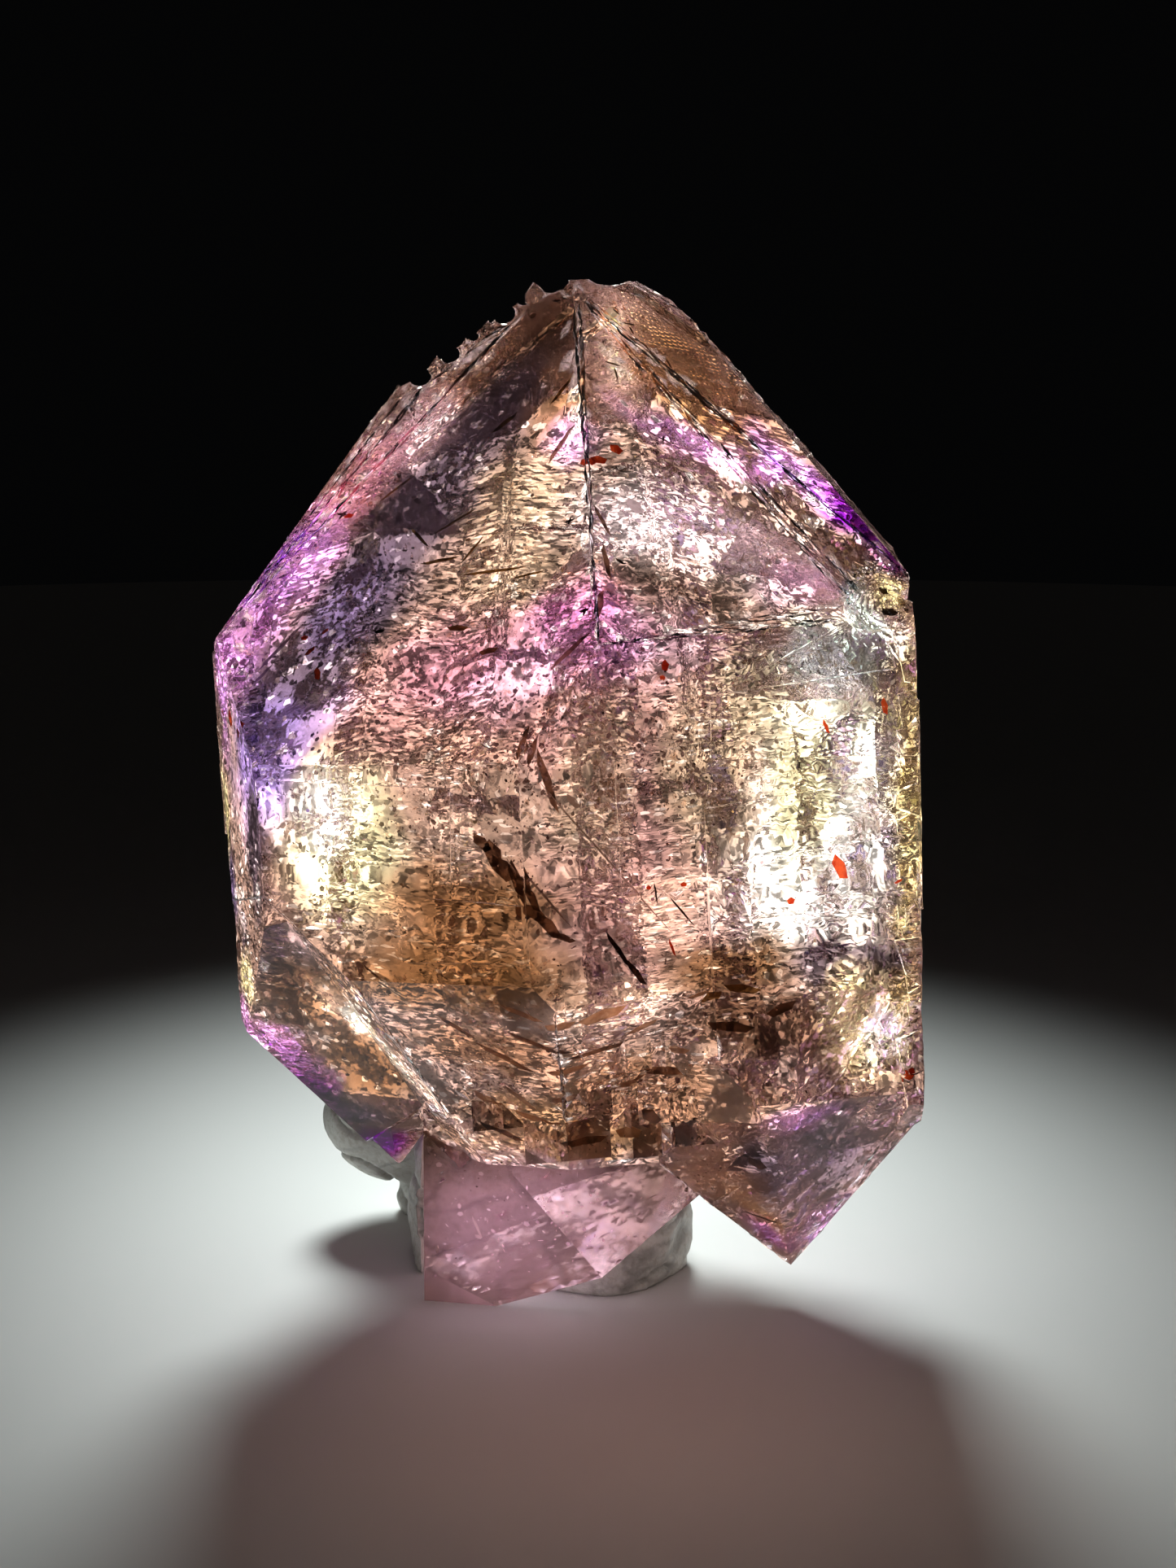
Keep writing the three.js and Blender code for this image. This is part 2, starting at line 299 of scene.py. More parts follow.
def make_camera():
    data = bpy.data.cameras.new("camera")
    data.sensor_width = SENSOR
    data.lens = SENSOR * FOCAL_PIXELS / PHOTO_HIGH
    data.clip_start = 0.005
    data.clip_end = 20
    camera = bpy.data.objects.new("camera", data)
    camera.location = CAMERA_AT
    camera.rotation_euler = (math.radians(90) - CAMERA_DOWN, 0, 0)
    bpy.context.scene.collection.objects.link(camera)
    bpy.context.scene.camera = camera


# Floor, world and lights

def make_floor():
    deselect()
    bpy.ops.mesh.primitive_circle_add(vertices=96, radius=0.35, fill_type="NGON", location=(0, 0, -0.02 * MM))
    floor = bpy.context.object
    floor.name = "floor"
    material, nodes, links, surface = new_material("pale paper")
    surface.inputs["Roughness"].default_value = 0.75
    surface.inputs["Base Color"].default_value = (0.66, 0.65, 0.64, 1)
    floor.data.materials.append(material)
    floor.visible_transmission = False


def soft_spot(name, place, target, opening, radius, watts, colour):
    """A light of radius mm aimed at target, which fades out towards the rim of its opening in degrees."""
    data = bpy.data.lights.new(name, "SPOT")
    data.energy = watts
    data.spot_size = math.radians(opening)
    data.spot_blend = 1.0
    data.shadow_soft_size = radius * MM
    data.color = colour
    light = bpy.data.objects.new(name, data)
    light.location = Vector(place) * MM
    aim = Vector(target) * MM - light.location
    light.rotation_euler = aim.to_track_quat("-Z", "Y").to_euler()
    light.visible_camera = False
    light.visible_transmission = False
    bpy.context.scene.collection.objects.link(light)


def make_world():
    """A dark backdrop to the camera, a bright patchy studio to light that passes the crystal, and little to the rest."""
    world = bpy.data.worlds.new("studio")
    bpy.context.scene.world = world
    world.use_nodes = True
    nodes = world.node_tree.nodes
    links = world.node_tree.links
    nodes.clear()
    path = add_node(nodes, "ShaderNodeLightPath")
    place = add_node(nodes, "ShaderNodeTexCoord")
    apart = add_node(nodes, "ShaderNodeSeparateXYZ")
    links.new(place.outputs["Generated"], apart.inputs["Vector"])
    height = add_node(nodes, "ShaderNodeMapRange", {"From Min": -0.3, "From Max": 0.9, "To Min": 0.0, "To Max": 1.0})
    links.new(apart.outputs["Z"], height.inputs["Value"])
    sky = mix_colour(nodes, links, height.outputs["Result"], (1.0, 0.93, 0.82), (0.86, 0.88, 1.0))
    cloud = add_node(nodes, "ShaderNodeTexNoise", {"Scale": STUDIO_PATCHES, "Detail": 2.0, "Roughness": 0.5})
    links.new(place.outputs["Generated"], cloud.inputs["Vector"])
    patches = add_node(nodes, "ShaderNodeMapRange", {"From Min": 0.38, "From Max": 0.62, "To Min": STUDIO_DARK,
                                                     "To Max": STUDIO_BRIGHT}, interpolation_type="SMOOTHSTEP")
    links.new(cloud.outputs["Fac"], patches.inputs["Value"])
    behind = add_node(nodes, "ShaderNodeMapRange", {"From Min": -0.5, "From Max": 0.6, "To Min": STUDIO_FRONT,
                                                    "To Max": 1.0}, interpolation_type="SMOOTHSTEP")
    links.new(apart.outputs["Y"], behind.inputs["Value"])
    studio = add_node(nodes, "ShaderNodeBackground")
    links.new(sky, studio.inputs["Color"])
    links.new(math_node(nodes, links, "MULTIPLY", patches.outputs["Result"], behind.outputs["Result"]),
              studio.inputs["Strength"])
    backdrop = add_node(nodes, "ShaderNodeBackground", {"Color": (0.9, 0.92, 1.0, 1), "Strength": BACKDROP_GLOW})
    fill = add_node(nodes, "ShaderNodeBackground", {"Color": (1.0, 0.93, 0.88, 1), "Strength": FILL_GLOW})
    not_passed = add_node(nodes, "ShaderNodeMixShader")
    out = add_node(nodes, "ShaderNodeOutputWorld")
    for_all = add_node(nodes, "ShaderNodeMixShader")
    links.new(path.outputs["Is Camera Ray"], not_passed.inputs["Fac"])
    links.new(fill.outputs["Background"], not_passed.inputs[1])
    links.new(backdrop.outputs["Background"], not_passed.inputs[2])
    links.new(path.outputs["Is Transmission Ray"], for_all.inputs["Fac"])
    links.new(not_passed.outputs["Shader"], for_all.inputs[1])
    links.new(studio.outputs["Background"], for_all.inputs[2])
    links.new(for_all.outputs["Shader"], out.inputs["Surface"])


def make_lights():
    """Soft lights for the floor, the putty and the gloss: the crystal's own light is the studio around it."""
    soft_spot("back light", (-4, 118, 94), (0, 9, 0), 34, 26, 1.75, (0.91, 1.0, 0.98))
    soft_spot("front light", (-40, -95, 75), (2, -12, 0), 48, 24, 0.04, (1.0, 0.92, 0.88))
    soft_spot("putty light", (36, -70, 30), (6, -2, 3), 9, 6, 0.03, (1.0, 0.93, 0.86))
    soft_spot("pink light", (4, -22, 26), (4, -24, 0), 110, 6, 0.0020, (1.0, 0.42, 0.38))


# The crystal

# Patches of colour: where the photograph shows the middle of each, its half sizes in pixels across and down, its turn
# in degrees, its half depth in mm, its colour, and how much it counts.
COLOUR_PATCHES = [
    (590, 900, 260, 150, 0, 30, ROSE_TAN, 0.9),
    (800, 1080, 180, 140, 0, 30, ROSE_TAN, 0.8),
    (560, 1000, 150, 90, 0, 30, CLOUDY, 0.6),
    (560, 440, 130, 50, -40, 30, BROWN, 1.0),
    (610, 432, 60, 40, -35, 30, DARK_BROWN, 0.5),
    (515, 535, 80, 60, -45, 30, SOFT_LILAC, 0.85),
    (420, 620, 110, 45, -52, 30, PINK, 0.9),
    (350, 700, 100, 60, -50, 30, VIOLET, 1.0),
    (300, 800, 60, 70, 0, 30, VIOLET, 0.9),
    (320, 920, 60, 110, 0, 30, INDIGO, 1.0),
    (385, 850, 60, 60, -40, 30, INDIGO, 0.7),
    (665, 420, 42, 80, 14, 30, DARK_BROWN, 1.0),
    (690, 490, 40, 80, 0, 30, BROWN, 0.9),
    # painted shade on top of the smoky colour: these rows, down to the deep blue one, paint the dark wedge that runs
    # from the top down to the left side
    (600, 520, 46, 130, 38, 30, SMOKE_AND_PAINTED_SHADE, 1.0),
    (520, 625, 62, 130, 40, 30, SMOKE_AND_PAINTED_SHADE, 1.0),
    (450, 730, 66, 110, 40, 30, SMOKE_AND_PAINTED_SHADE, 1.0),
    (380, 820, 60, 80, 35, 30, SMOKE_AND_PAINTED_SHADE, 0.9),
    (425, 745, 50, 90, 40, 30, DEEP_BLUE, 0.6),
    (640, 620, 80, 70, 20, 30, CLOUDY, 0.7),
    (700, 540, 36, 40, 0, 30, PALE_VIOLET, 0.9),
    (770, 430, 60, 100, 0, 30, TAN, 1.0),
    (850, 470, 60, 110, -35, 30, BRONZE, 0.9),
    (905, 500, 30, 130, -38, 10, BROWN, 0.8),
    (850, 545, 110, 26, 28, 30, PALE_VIOLET, 1.0),
    (985, 590, 110, 24, 45, 30, VIOLET, 1.0),
    (1052, 645, 70, 22, 46, 10, DEEP_VIOLET, 1.0),
    (800, 640, 110, 70, 0, 30, PALE, 1.0),
    (920, 680, 100, 60, 20, 30, PALE, 0.8),
    (990, 720, 60, 40, 0, 30, LILAC, 0.8),
    (640, 720, 90, 60, 0, 30, CLOUDY, 0.6),
    (715, 770, 70, 70, 20, 30, PURPLE, 1.0),
    (640, 830, 90, 50, -30, 30, LILAC, 0.7),
    (800, 790, 80, 50, 0, 30, LILAC, 0.6),
    (560, 810, 110, 60, -20, 30, PURPLE, 0.35),
    (420, 1040, 90, 110, 0, 30, GREY_GREEN, 1.0),
    (395, 1000, 50, 60, 0, 30, WHITE, 0.9),
    (1040, 970, 130, 220, 0, 30, STRAW, 1.0),
    (1000, 1060, 150, 120, 0, 30, WHITE, 1.0),
    (1000, 900, 60, 60, 0, 30, STRAW, 0.7),
    (1116, 1040, 22, 280, 0, 8, OLIVE, 1.0),
    (1100, 730, 24, 30, 0, 8, OLIVE, 1.0),
    (1054, 752, 30, 38, 0, 4, GREY, 1.0),
    (985, 980, 50, 90, 0, 30, GREY_GREEN, 0.9),
    (1020, 810, 90, 45, 0, 30, GREY, 0.9),
    (920, 870, 60, 70, 0, 30, GREY_GREEN, 0.5),
    (870, 960, 70, 110, 0, 30, CLOUDY, 0.9),
    (735, 960, 50, 130, 0, 30, CLOUDY, 0.7),
    (312, 1050, 26, 90, 0, 30, SMOKE_AND_PAINTED_SHADE, 0.9),
    (340, 905, 50, 60, 0, 30, DEEP_BLUE, 0.8),
    (274, 860, 16, 90, 0, 6, VIOLET, 1.0),
    (278, 1000, 12, 60, 0, 6, OLIVE, 1.0),
    (284, 1080, 14, 40, 0, 6, DEEP_BLUE, 0.9),
    (296, 1130, 26, 16, 0, 6, PALE, 1.0),
    (300, 1158, 26, 14, 0, 6, SMOKE_AND_PAINTED_SHADE, 1.0),
    (304, 1200, 30, 30, 0, 6, OLIVE, 1.0),
    (570, 1120, 110, 60, 0, 30, GOLDEN, 0.9),
    (560, 1200, 140, 50, 0, 30, GOLDEN, 1.0),
    (820, 1120, 60, 60, 0, 30, TAN, 0.5),
    (900, 1190, 80, 34, 0, 30, GOLDEN, 0.7),
    (1040, 1178, 90, 26, 0, 30, SMOKE_AND_PAINTED_SHADE, 0.75),
    (940, 1260, 120, 40, 10, 30, DARK_BROWN, 0.9),
    (1060, 1262, 70, 76, 0, 30, OLIVE, 1.0),
    (1085, 1270, 30, 40, 0, 30, STRAW, 0.9),
    (760, 1240, 90, 36, 0, 30, CREAM, 0.8),
    (600, 1290, 110, 40, 0, 30, BROWN, 0.9),
    (800, 1350, 150, 60, 0, 30, BROWN, 0.9),
    (640, 1370, 80, 40, 0, 30, BRONZE, 0.7),
    (700, 1408, 160, 24, 0, 30, BRONZE, 0.8),
    (390, 1220, 60, 60, 45, 30, GOLDEN, 0.8),
    (450, 1310, 70, 60, 45, 30, GOLDEN, 0.9),
    (345, 1290, 90, 24, 42, 5, BRIGHT_VIOLET, 1.0),
    (400, 1345, 60, 20, 42, 5, DEEP_VIOLET, 0.8),
    (430, 1365, 50, 24, 20, 30, SMOKE_AND_PAINTED_SHADE, 0.7),
    (470, 1405, 40, 26, 0, 10, DEEP_VIOLET, 0.9),
    (490, 1305, 165, 22, 50, 3, STRAW, 0.6),
    (490, 1305, 165, 18, 50, 3, TAN, 1.0),
    (1000, 1420, 90, 60, 0, 30, GREY_LILAC, 1.0),
    (1078, 1440, 30, 110, 38, 10, LILAC, 1.0),
    (1010, 1505, 40, 40, 30, 10, PALE_VIOLET, 0.8),
    (990, 1375, 60, 14, -6, 4, VIOLET, 0.7),
    (935, 1440, 26, 50, 0, 4, SMOKE_AND_PAINTED_SHADE, 0.8),
    (880, 1440, 60, 50, 30, 8, BROWN, 0.9),
    (930, 1490, 50, 20, 38, 8, BRONZE, 0.9),
    (945, 1515, 40, 16, 38, 4, PURPLE, 0.9),
    (640, 1520, 200, 120, 0, 30, SOFT_LILAC, 1.0),
]
PATCH_WANDER = 0.9  # mm that the patches' edges stray
STRAY_SCALE = 0.6  # turns of that straying in a mm
NEAR_SHARE = 1.7  # how much of the colour the near skin has: the far skin has the rest up to 2
BLOTCH = 0.8  # how much darker and lighter the body is from place to place
BLOTCH_SCALE = 0.42


# The surface's own relief
FRONT_EDGE = 0.9  # mm between neighbouring points of the skin, on the faces turned to the viewer
BACK_EDGE = 0.6  # and on the others
FRONT_RELIEF = 0.010  # mm in and out, on the faces turned to the viewer
BACK_RELIEF = 0.03  # on the etched faces behind
FACET = 0.34  # mm, the etched facets behind, too small for the mesh
FACET_TILT = 0.42  # how far they lean, as a share of the normal
FACET_DARK = 0.06  # how much light the dullest facets let through
FACET_SHARE = 0.5  # and how many of them are dulled at all
FACET_WIDE = 0.35  # how much of its size across a facet keeps up and down where it is a growth line
FACET_HIGH = 2.6
CALM_SCALE = 0.16  # how many times in a mm the relief changes between calm and rough
CALM_SHIFT = Vector((4.7, 1.3, 8.1))
SWELL = 0.2  # mm, the slower waves of the faces behind
SWELL_SCALE = 0.4  # waves in a mm
CHIP_SEEN = (1092, 742)  # where the photograph shows the middle of the chip's ribs on the right shoulder
CHIP_REACH = 2.2  # mm
CHIP_EDGE = 0.16
CHIP_RIB = 0.36  # mm from rib to rib
CHIP_RISE = 0.045
TREADS = (0.22, 0.35, 0.5, 0.8, 1.3)  # mm between growth lines on the prism
RISER = 0.05  # the width of the step at a growth line
TREAD_RELIEF = 0.03
FOOT_TOP = 6.8  # mm above the floor, where the smooth foot ends
FOOT_RIGHT = 6.5
FOOT_LIVELY = 0.06
FOOT_MILKY = 0.11  # how rough the foot's milky skin is
CLEAR = 0.03  # and how rough the rest
GLINT_SHARE = 0.92  # facets above this share of all shine through brighter
GLINT_GAMMA = 0.6  # by how much their colour's exponent drops


def front_point(skin, u, v):
    """Where the camera's ray through pixel u, v first meets the crystal, or passes it closest, and the normal there."""
    ray = view_ray(u, v)
    place, normal, _, _ = skin.ray_cast(CAMERA_AT, ray)
    if place is None:
        place, normal, _, _ = skin.find_nearest(CAMERA_AT - ray * CAMERA_AT.y / ray.y)
    return place, normal


def read_vector(items, name):
    """One vector of every vertex or face, as rows of an array."""
    values = np.zeros(len(items) * 3)
    items.foreach_get(name, values)
    return values.reshape(-1, 3)


def along_axis(places):
    """How far up the crystal's own axis each place is, in mm."""
    return (places - np.array(AXIS_POINT)) @ np.array(AXIS) / MM


def striate(shell):
    """Growth lines across the prism faces: narrow risers between flat treads, square to the crystal's axis."""
    draw = random.Random(11)
    lines = []
    at = -17.0
    while at < 13.0:
        lines.append((at, draw.uniform(-TREAD_RELIEF, TREAD_RELIEF)))
        at += draw.choice(TREADS)

    def prism(face):
        return abs(face.normal.dot(AXIS)) < 0.04 and face.area > 3 * MM * MM

    select_faces(shell, prism)
    for height, _ in lines:
        for start in (height, height + RISER):
            bpy.ops.mesh.bisect(plane_co=AXIS_POINT + AXIS * start * MM, plane_no=AXIS)
    bpy.ops.object.mode_set(mode="OBJECT")
    return lines


def split_edges(shell, longest, wanted):
    """Splits once each edge of the skin that is longer than longest mm and has both ends where wanted says."""
    mesh = shell.data
    pick(shell)
    bpy.ops.object.mode_set(mode="EDIT")
    bpy.ops.mesh.select_all(action="SELECT")
    bpy.ops.mesh.quads_convert_to_tris(quad_method="SHORTEST_DIAGONAL", ngon_method="BEAUTY")
    bpy.ops.mesh.select_mode(type="EDGE")
    bpy.ops.mesh.select_all(action="DESELECT")
    bpy.ops.object.mode_set(mode="OBJECT")
    ends = np.zeros(len(mesh.edges) * 2, int)
    mesh.edges.foreach_get("vertices", ends)
    places = read_vector(mesh.vertices, "co")
    long = np.linalg.norm(places[ends[0::2]] - places[ends[1::2]], axis=1) > longest * MM
    chosen = wanted(places, read_vector(mesh.vertex_normals, "vector"))
    long &= chosen[ends[0::2]] & chosen[ends[1::2]]
    mesh.edges.foreach_set("select", long)
    bpy.ops.object.mode_set(mode="EDIT")
    bpy.ops.mesh.subdivide(number_cuts=1, ngon=False, quadcorner="STRAIGHT_CUT")
    bpy.ops.mesh.select_all(action="SELECT")
    bpy.ops.mesh.quads_convert_to_tris(quad_method="SHORTEST_DIAGONAL", ngon_method="BEAUTY")
    bpy.ops.object.mode_set(mode="OBJECT")


def refine(shell, chip):
    """Splits the skin's edges in rounds: FRONT_EDGE all over, BACK_EDGE behind and CHIP_EDGE on the chipped shoulder."""
    def all_over(places, normals):
        return np.ones(len(places), bool)

    def behind(places, normals):
        return normals[:, 1] > 0

    def chipped(places, normals):
        return np.linalg.norm(places - np.array(chip), axis=1) < (CHIP_REACH + 0.6) * MM

    for longest in (16, 8, 4, 2, 1.4, FRONT_EDGE, FRONT_EDGE):
        split_edges(shell, longest, all_over)
    for longest in (0.7, BACK_EDGE, BACK_EDGE):
        split_edges(shell, longest, behind)
    for longest in (0.5, 0.3, CHIP_EDGE, CHIP_EDGE):
        split_edges(shell, longest, chipped)


def relieve(shell, lines, chip):
    """Moves the skin's points in and out: treads on the prism, small facets all over, strongest behind."""
    mesh = shell.data
    places = read_vector(mesh.vertices, "co")
    normals = read_vector(mesh.vertex_normals, "vector")
    faces = read_vector(mesh.polygon_normals, "vector")
    corners = np.zeros(len(mesh.loops), int)
    mesh.loops.foreach_get("vertex_index", corners)
    summed = np.zeros_like(places)
    np.add.at(summed, corners, np.repeat(faces, 3, axis=0))
    count = np.bincount(corners, minlength=len(places))
    flat = np.linalg.norm(summed, axis=1) / count > 0.9995
    draw = np.random.default_rng(5)
    height = along_axis(places)
    upright = np.abs(normals @ np.array(AXIS)) < 0.05
    tread = np.searchsorted([line[0] + RISER / 2 for line in lines], height)
    offsets = np.array([0.0] + [line[1] for line in lines])
    rise = np.where(upright, offsets[tread], 0.0)
    behind = np.clip((normals[:, 1] - 0.02) / 0.4, 0, 1)
    calm = np.array([noise.noise(Vector(place) / MM * CALM_SCALE + CALM_SHIFT) for place in places])
    rough = np.clip(calm * 3 + 0.6, 0.1, 1)
    amount = (FRONT_RELIEF + (BACK_RELIEF - FRONT_RELIEF) * behind) * rough
    rise = rise + draw.uniform(-1, 1, len(places)) * amount
    swell = np.array([noise.noise(Vector(place) / MM * SWELL_SCALE) for place in places])
    rise = rise + swell * SWELL * behind
    far = np.linalg.norm(places - np.array(chip), axis=1) / MM
    ribs = np.clip((CHIP_REACH - far) / 0.8, 0, 1)
    rise = rise * (1 - ribs) + np.sin(far * math.tau / CHIP_RIB) * CHIP_RISE * ribs
    slide = draw.uniform(-0.14, 0.14, places.shape) * (1 - ribs)[:, None]
    slide -= (slide * normals).sum(axis=1, keepdims=True) * normals
    slide[~flat | upright] = 0
    moved = places + (normals * rise[:, None] + slide) * MM
    moved = np.clip(moved, places.min(axis=0), places.max(axis=0))
    mesh.vertices.foreach_set("co", moved.ravel())
    mesh.update()


# Calm or lively places of the skin: where the photograph shows the middle, half sizes in pixels, turn in degrees, how
# lively the small facets are there, and how far they are drawn out into growth lines
LIVELY_PATCHES = [
    (800, 450, 120, 130, 0, 0.35, 0.0),
    (960, 640, 160, 60, 45, 0.5, 0.0),
    (640, 1500, 260, 140, 0, 0.12, 0.0),
    (760, 1480, 120, 80, 0, 0.12, 0.0),
    (1010, 1440, 120, 100, 0, 0.7, 0.2),
    (900, 1450, 70, 60, 0, 0.3, 0.2),
    (1030, 990, 130, 230, 0, 0.08, 0.6),
    (1040, 1085, 90, 110, 0, 0.1, 0.4),
    (500, 640, 70, 240, 33, 1.0, 0.0),
    (1060, 750, 50, 50, 0, 0.2, 0.0),
    (600, 1130, 220, 120, 0, 0.5, 0.7),
    (980, 900, 180, 170, 0, 0.9, 0.8),
    (330, 1160, 60, 120, 0, 0.9, 0.9),
    (760, 1300, 260, 60, 0, 0.9, 0.8),
]


def etch(shell, skin):
    """Paints how lively the small facets are, and how far they are growth lines, as one attribute of the points."""
    mesh = shell.data
    places = read_vector(mesh.vertices, "co") / MM
    normals = read_vector(mesh.vertex_normals, "vector")
    calm = np.array([noise.noise(Vector(place) * CALM_SCALE + CALM_SHIFT) for place in places])
    lively = np.clip(calm * 3 + 0.8, 0.25, 1)
    lines = np.where(np.abs(normals @ np.array(AXIS)) < 0.2, np.clip(calm * 4 + 0.3, 0, 1), 0.0)
    for u, v, across, down, turn, strength, share in LIVELY_PATCHES:
        mask = seen_mask(skin, places, u, v, across, down, turn, 30)
        lively = lively * (1 - mask) + lively * strength * mask
        lines = lines * (1 - mask) + share * mask
    milky = np.clip((FOOT_TOP - places[:, 2]) / 0.6, 0, 1) * np.clip((FOOT_RIGHT - places[:, 0]) / 0.6, 0, 1)
    lively = lively * (1 - milky) + FOOT_LIVELY * milky
    behind = np.clip((normals[:, 1] + 0.05) / 0.3, 0.06, 1)
    beside = np.clip((np.abs(normals[:, 0]) - 0.6) / 0.2, 0, 1)
    behind = np.maximum(behind, beside)
    mottled = lively * np.maximum(behind, 0.35)
    layer = mesh.color_attributes.new("etch", "FLOAT_COLOR", "POINT")
    channels = np.stack([lively * behind, lines, mottled, milky], axis=1)
    layer.data.foreach_set("color", channels.ravel())


def seen_mask(skin, places, u, v, across, down, turn, deep):
    """How much each place belongs to the patch that the camera sees at u, v, along the bent ray there."""
    front, normal = front_point(skin, u, v)
    inward = np.array(bent_ray(view_ray(u, v), normal))
    shift = places - np.array(front) / MM
    along = shift @ inward
    aside = (shift - along[:, None] * inward) @ np.array(Matrix.Rotation(math.radians(-turn), 3, "Y")).T
    reach = 1.4 * np.array((across * PIXEL, down * PIXEL, deep))
    far = np.linalg.norm(np.stack([aside[:, 0], aside[:, 2], along], axis=1) / reach, axis=1)
    fade = np.clip((1.0 - far) / 0.7, 0, 1)
    return fade * fade * (3 - 2 * fade)


def tint(shell, skin):
    """Paints the colour patches on the skin's points, each along the bent ray on which the camera sees it."""
    mesh = shell.data
    places = read_vector(mesh.vertices, "co") / MM
    stray = np.array([noise.noise_vector(Vector(place) * STRAY_SCALE) for place in places]) * PATCH_WANDER
    strayed = places + stray
    colours = np.tile(np.array(BODY), (len(places), 1))
    for u, v, across, down, turn, deep, colour, share in COLOUR_PATCHES:
        mask = (seen_mask(skin, strayed, u, v, across, down, turn, deep) * share)[:, None]
        colours = colours ** (1 - mask) * np.array(colour) ** mask
    blotch = np.array([noise.noise(Vector(place) * BLOTCH_SCALE + CALM_SHIFT) for place in places])
    blotch += 0.6 * np.array([noise.noise(Vector(place) * BLOTCH_SCALE * 2.3) for place in places])
    blotch = np.where(blotch > 0, blotch * np.clip(colours.mean(axis=1) * 8, 0, 1), blotch)
    calm = seen_mask(skin, places, 660, 1500, 260, 130, 0, 30)
    colours = np.clip(colours * np.exp(blotch * BLOTCH * (1 - calm))[:, None], 0, 1)
    behind = np.clip(read_vector(mesh.vertex_normals, "vector")[:, 1] / 0.4 + 0.5, 0, 1)
    colours = colours ** (NEAR_SHARE + (2 - 2 * NEAR_SHARE) * behind)[:, None]
    layer = mesh.color_attributes.new("tint", "FLOAT_COLOR", "POINT")
    layer.data.foreach_set("color", np.hstack([colours, np.ones((len(colours), 1))]).ravel())


def facets(nodes, links):
    """Small etched facets: flat cells that lean each its own way, drawn out across where they are growth lines.

    Gives how much light each lets through, and its normal.
    """
    place = add_node(nodes, "ShaderNodeTexCoord")
    etched = add_node(nodes, "ShaderNodeAttribute", attribute_name="etch")
    channels = add_node(nodes, "ShaderNodeSeparateColor")
    links.new(etched.outputs["Color"], channels.inputs["Color"])
    drawn = add_node(nodes, "ShaderNodeMix", data_type="VECTOR")
    drawn.inputs[4].default_value = (1, 1, 1)
    drawn.inputs[5].default_value = (FACET_WIDE, 1, FACET_HIGH)
    links.new(math_node(nodes, links, "GREATER_THAN", channels.outputs["Green"], 0.5), drawn.inputs[0])
    sized = add_node(nodes, "ShaderNodeVectorMath", operation="MULTIPLY")
    links.new(place.outputs["Object"], sized.inputs[0])
    links.new(drawn.outputs[1], sized.inputs[1])
    cells = add_node(nodes, "ShaderNodeTexVoronoi", {"Scale": 1 / (FACET * MM)})
    links.new(sized.outputs["Vector"], cells.inputs["Vector"])
    lean = add_node(nodes, "ShaderNodeVectorMath", {1: (0.5, 0.5, 0.5)}, operation="SUBTRACT")
    links.new(cells.outputs["Color"], lean.inputs[0])
    amount = add_node(nodes, "ShaderNodeVectorMath", operation="SCALE")
    links.new(lean.outputs["Vector"], amount.inputs[0])
    links.new(math_node(nodes, links, "MULTIPLY", channels.outputs["Red"], FACET_TILT), amount.inputs["Scale"])
    shape = add_node(nodes, "ShaderNodeNewGeometry")
    leaning = add_node(nodes, "ShaderNodeVectorMath", operation="ADD")
    links.new(shape.outputs["Normal"], leaning.inputs[0])
    links.new(amount.outputs["Vector"], leaning.inputs[1])
    unit = add_node(nodes, "ShaderNodeVectorMath", operation="NORMALIZE")
    links.new(leaning.outputs["Vector"], unit.inputs[0])
    shares = add_node(nodes, "ShaderNodeSeparateColor")
    links.new(cells.outputs["Color"], shares.inputs["Color"])
    dull = add_node(nodes, "ShaderNodeMapRange", {"From Max": FACET_SHARE, "To Min": FACET_DARK, "To Max": 1.0})
    links.new(shares.outputs["Green"], dull.inputs["Value"])
    chosen = math_node(nodes, links, "GREATER_THAN", shares.outputs["Red"], GLINT_SHARE)
    shown = math_node(nodes, links, "MINIMUM", math_node(nodes, links, "MULTIPLY", channels.outputs["Blue"], 2.5), 1.0)
    glint = math_node(nodes, links, "MULTIPLY", chosen, shown)
    rough = math_node(nodes, links, "MULTIPLY_ADD", etched.outputs["Alpha"], FOOT_MILKY - CLEAR, CLEAR)
    return dull.outputs["Result"], unit.outputs["Vector"], channels.outputs["Blue"], glint, rough


def crystal_material():
    material, nodes, links, surface = new_material("smoky amethyst")
    surface.inputs["IOR"].default_value = QUARTZ_IOR
    surface.inputs["Transmission Weight"].default_value = 1.0
    painted = add_node(nodes, "ShaderNodeAttribute", attribute_name="tint")
    passing, normal, mottled, glint, rough = facets(nodes, links)
    drop = math_node(nodes, links, "MULTIPLY", glint, GLINT_GAMMA)
    lit = add_node(nodes, "ShaderNodeGamma")
    links.new(painted.outputs["Color"], lit.inputs["Color"])
    links.new(math_node(nodes, links, "SUBTRACT", 1.0, drop), lit.inputs["Gamma"])
    grey = add_node(nodes, "ShaderNodeCombineColor")
    for socket in ("Red", "Green", "Blue"):
        links.new(passing, grey.inputs[socket])
    links.new(mix_colour(nodes, links, mottled, lit.outputs["Color"], grey.outputs["Color"], "MULTIPLY"),
              surface.inputs["Base Color"])
    links.new(rough, surface.inputs["Roughness"])
    links.new(normal, surface.inputs["Normal"])
    volume = add_node(nodes, "ShaderNodeVolumeAbsorption", {"Color": (0.86, 0.74, 0.82, 1), "Density": 6.0})
    links.new(volume.outputs["Volume"], nodes["Material Output"].inputs["Volume"])
    return material


